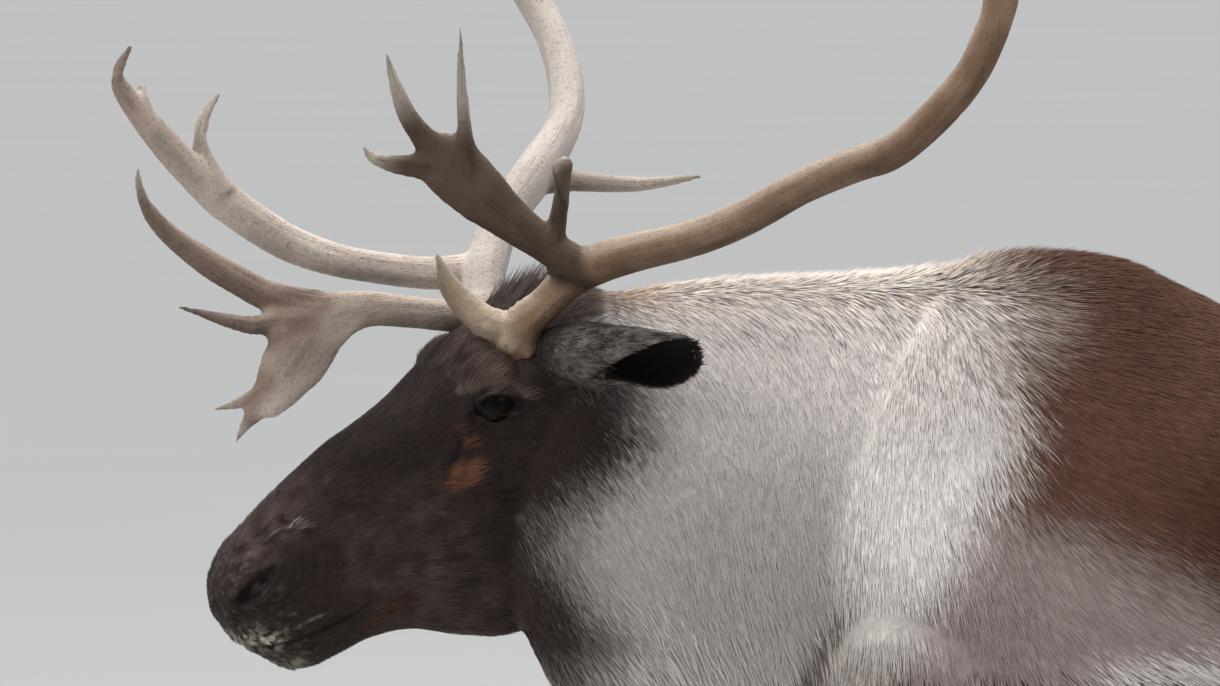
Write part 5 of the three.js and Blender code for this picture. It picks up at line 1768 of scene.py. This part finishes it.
def claw_part(leg, outer, sides=48):
    """One claw, broad at the sole and leaning back as it rises."""
    x, y = leg["rows"][-1][:2]
    facing = leg["side"] * (1 if outer else -1)
    heart = [x + set_back(leg, 0) - 14, leg["side"] * y + facing * (CLAW["between"] + CLAW["width"]) / 2, 0]
    rows = finer(CLAW_LEVELS, 6)
    z, size, lean = (column[:, None] for column in rows.T)
    size = size * (1 + 0.006 * np.sin(z * 1.3) * step(4, 12, z))
    c, s = np.cos(turn(sides)), np.sin(turn(sides))
    across = s * np.where(s > 0, 1, 0.78)
    inside = facing * (size - 1) * CLAW["width"] * 0.3
    own = np.stack([-c * CLAW["length"] / 2 * size + lean, facing * across * CLAW["width"] * size / 2 + inside, z + 0 * c], -1)
    angle = np.radians(-facing * CLAW["splay"])
    spin = np.array([[np.cos(angle), -np.sin(angle), 0], [np.sin(angle), np.cos(angle), 0], [0, 0, 1]])
    return loft(own @ spin.T + heart)


def dewclaw_part(leg, outer, sides=20):
    """A small claw that hangs behind the pastern."""
    fetlock = next(row for row in leg["rows"] if row[2] == 118)
    facing = leg["side"] * (1 if outer else -1)
    back, out, z, size = (column[:, None] for column in finer(DEWCLAW, 5).T)
    c, s = np.cos(turn(sides)), np.sin(turn(sides))
    x = fetlock[0] + set_back(leg, z) + back + size * c
    return loft(np.stack([x, leg["side"] * fetlock[1] + facing * out + size * 0.8 * s, z + size * 0.45 * c], -1))


def horn_finish():
    """Dark horn with growth rings and scuffs."""
    horn = Finish("hoof_horn_finish", specular_ior_level=0.45)
    where = horn.node("ShaderNodeTexCoord", output="Object")
    rings = horn.noise(1, 3, horn.stretched(where, 14, 14, 420))
    scuffs = horn.noise(160, 5, rough=0.7)
    colour = horn.mix(rings, (0.017, 0.013, 0.011, 1), (0.075, 0.056, 0.043, 1))
    horn.set("Base Color", horn.scaled(colour, 0.55 + 0.9 * scuffs))
    horn.set("Roughness", 0.36 + 0.3 * scuffs)
    horn.bump(rings + 0.4 * scuffs, 0.0012, 0.8)
    return horn.material


hoof_parts = [claw_part(leg, outer) for leg in LEGS for outer in (True, False)]
hoof_parts += [dewclaw_part(leg, outer) for leg in LEGS for outer in (True, False)]
hooves = piece_from("hooves", mesh_from("hooves", *joined(hoof_parts)))
hooves.data.shade_smooth()
hooves.data.materials.append(horn_finish())
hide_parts(*[name for name in nodes if "claw" in name or name.startswith("hoof")])
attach(hooves, "root")
print("hooves:", len(hooves.data.polygons), "faces")

# %% [markdown]
# The picture is taken with a long lens from far away, a little above the back, as wildlife is.
# The ground is plain and pale. Large soft lamps stand in for an overcast sky, with the strongest
# from above and behind, so that the crest and the antlers get a bright edge.

# %% Stage
VIEW_TILT = np.radians(3.5)
LENS_AT = np.array([-365, -6987, 1472.3]) * MM + SHIFT
LOOK = Vector((0, np.cos(VIEW_TILT), -np.sin(VIEW_TILT)))
LENS = 245.9

lens = bpy.data.cameras.new("camera")
lens.lens, lens.sensor_width = LENS, 36
camera = bpy.data.objects.new("camera", lens)
camera.location = LENS_AT
camera.rotation_euler = LOOK.to_track_quat("-Z", "Y").to_euler()
lens.clip_end = 400
bpy.context.scene.collection.objects.link(camera)
bpy.context.scene.camera = camera

floor_mesh = bpy.data.meshes.new("floor")
floor_mesh.from_pydata([(-150, -150, 0), (150, -150, 0), (150, 150, 0), (-150, 150, 0)], [], [(0, 1, 2, 3)])
floor = piece_from("floor", floor_mesh)
ground = Finish("ground", roughness=0.9, specular_ior_level=0.1)
ground.set("Base Color", ground.mix(ground.noise(0.6, 2), (0.53, 0.53, 0.525, 1), (0.57, 0.57, 0.565, 1)))
floor_mesh.materials.append(ground.material)

bpy.context.scene.view_settings.view_transform = "Standard"
sky = bpy.data.worlds.new("sky")
sky.use_nodes = True
dome = sky.node_tree
height = Wire(dome, dome.nodes.new("ShaderNodeTexCoord").outputs["Generated"])
split = dome.nodes.new("ShaderNodeSeparateXYZ")
fill(dome, split.inputs[0], height)
rise = Wire(dome, split.outputs["Z"]).maths("MAXIMUM", Wire(dome, split.outputs["Z"]), 0.0)
fill(dome, dome.nodes["Background"].inputs["Strength"], 0.7 + 0.4 * rise)
dome.nodes["Background"].inputs["Color"].default_value = (0.97, 0.985, 1.0, 1)
bpy.context.scene.world = sky

# Place, aim, width in metres, power in watts and colour
LAMPS = {
    "sky_lamp": [(-0.5, 0.9, 5.4), (0, 0, 0.9), 4.0, 300, (1.0, 0.97, 0.93)],
    "front_lamp": [(-4.4, -3.6, 4.2), (-0.3, 0, 0.9), 2.2, 90, (1.0, 0.98, 0.95)],
    "side_lamp": [(4.2, -3.6, 2.6), (0.2, 0, 0.8), 2.6, 40, (0.93, 0.96, 1.0)],
}
for name, (place, aim, width, power, colour) in LAMPS.items():
    light = bpy.data.lights.new(name, "AREA")
    light.size, light.energy, light.color = width, power, colour
    lamp = bpy.data.objects.new(name, light)
    lamp.location = place
    lamp.rotation_euler = (Vector(aim) - Vector(place)).to_track_quat("-Z", "Y").to_euler()
    bpy.context.scene.collection.objects.link(lamp)
print("lamps:", list(LAMPS))

# %% [markdown]
# The last step brings the scene up to date.

# %% Update
bpy.context.view_layer.update()
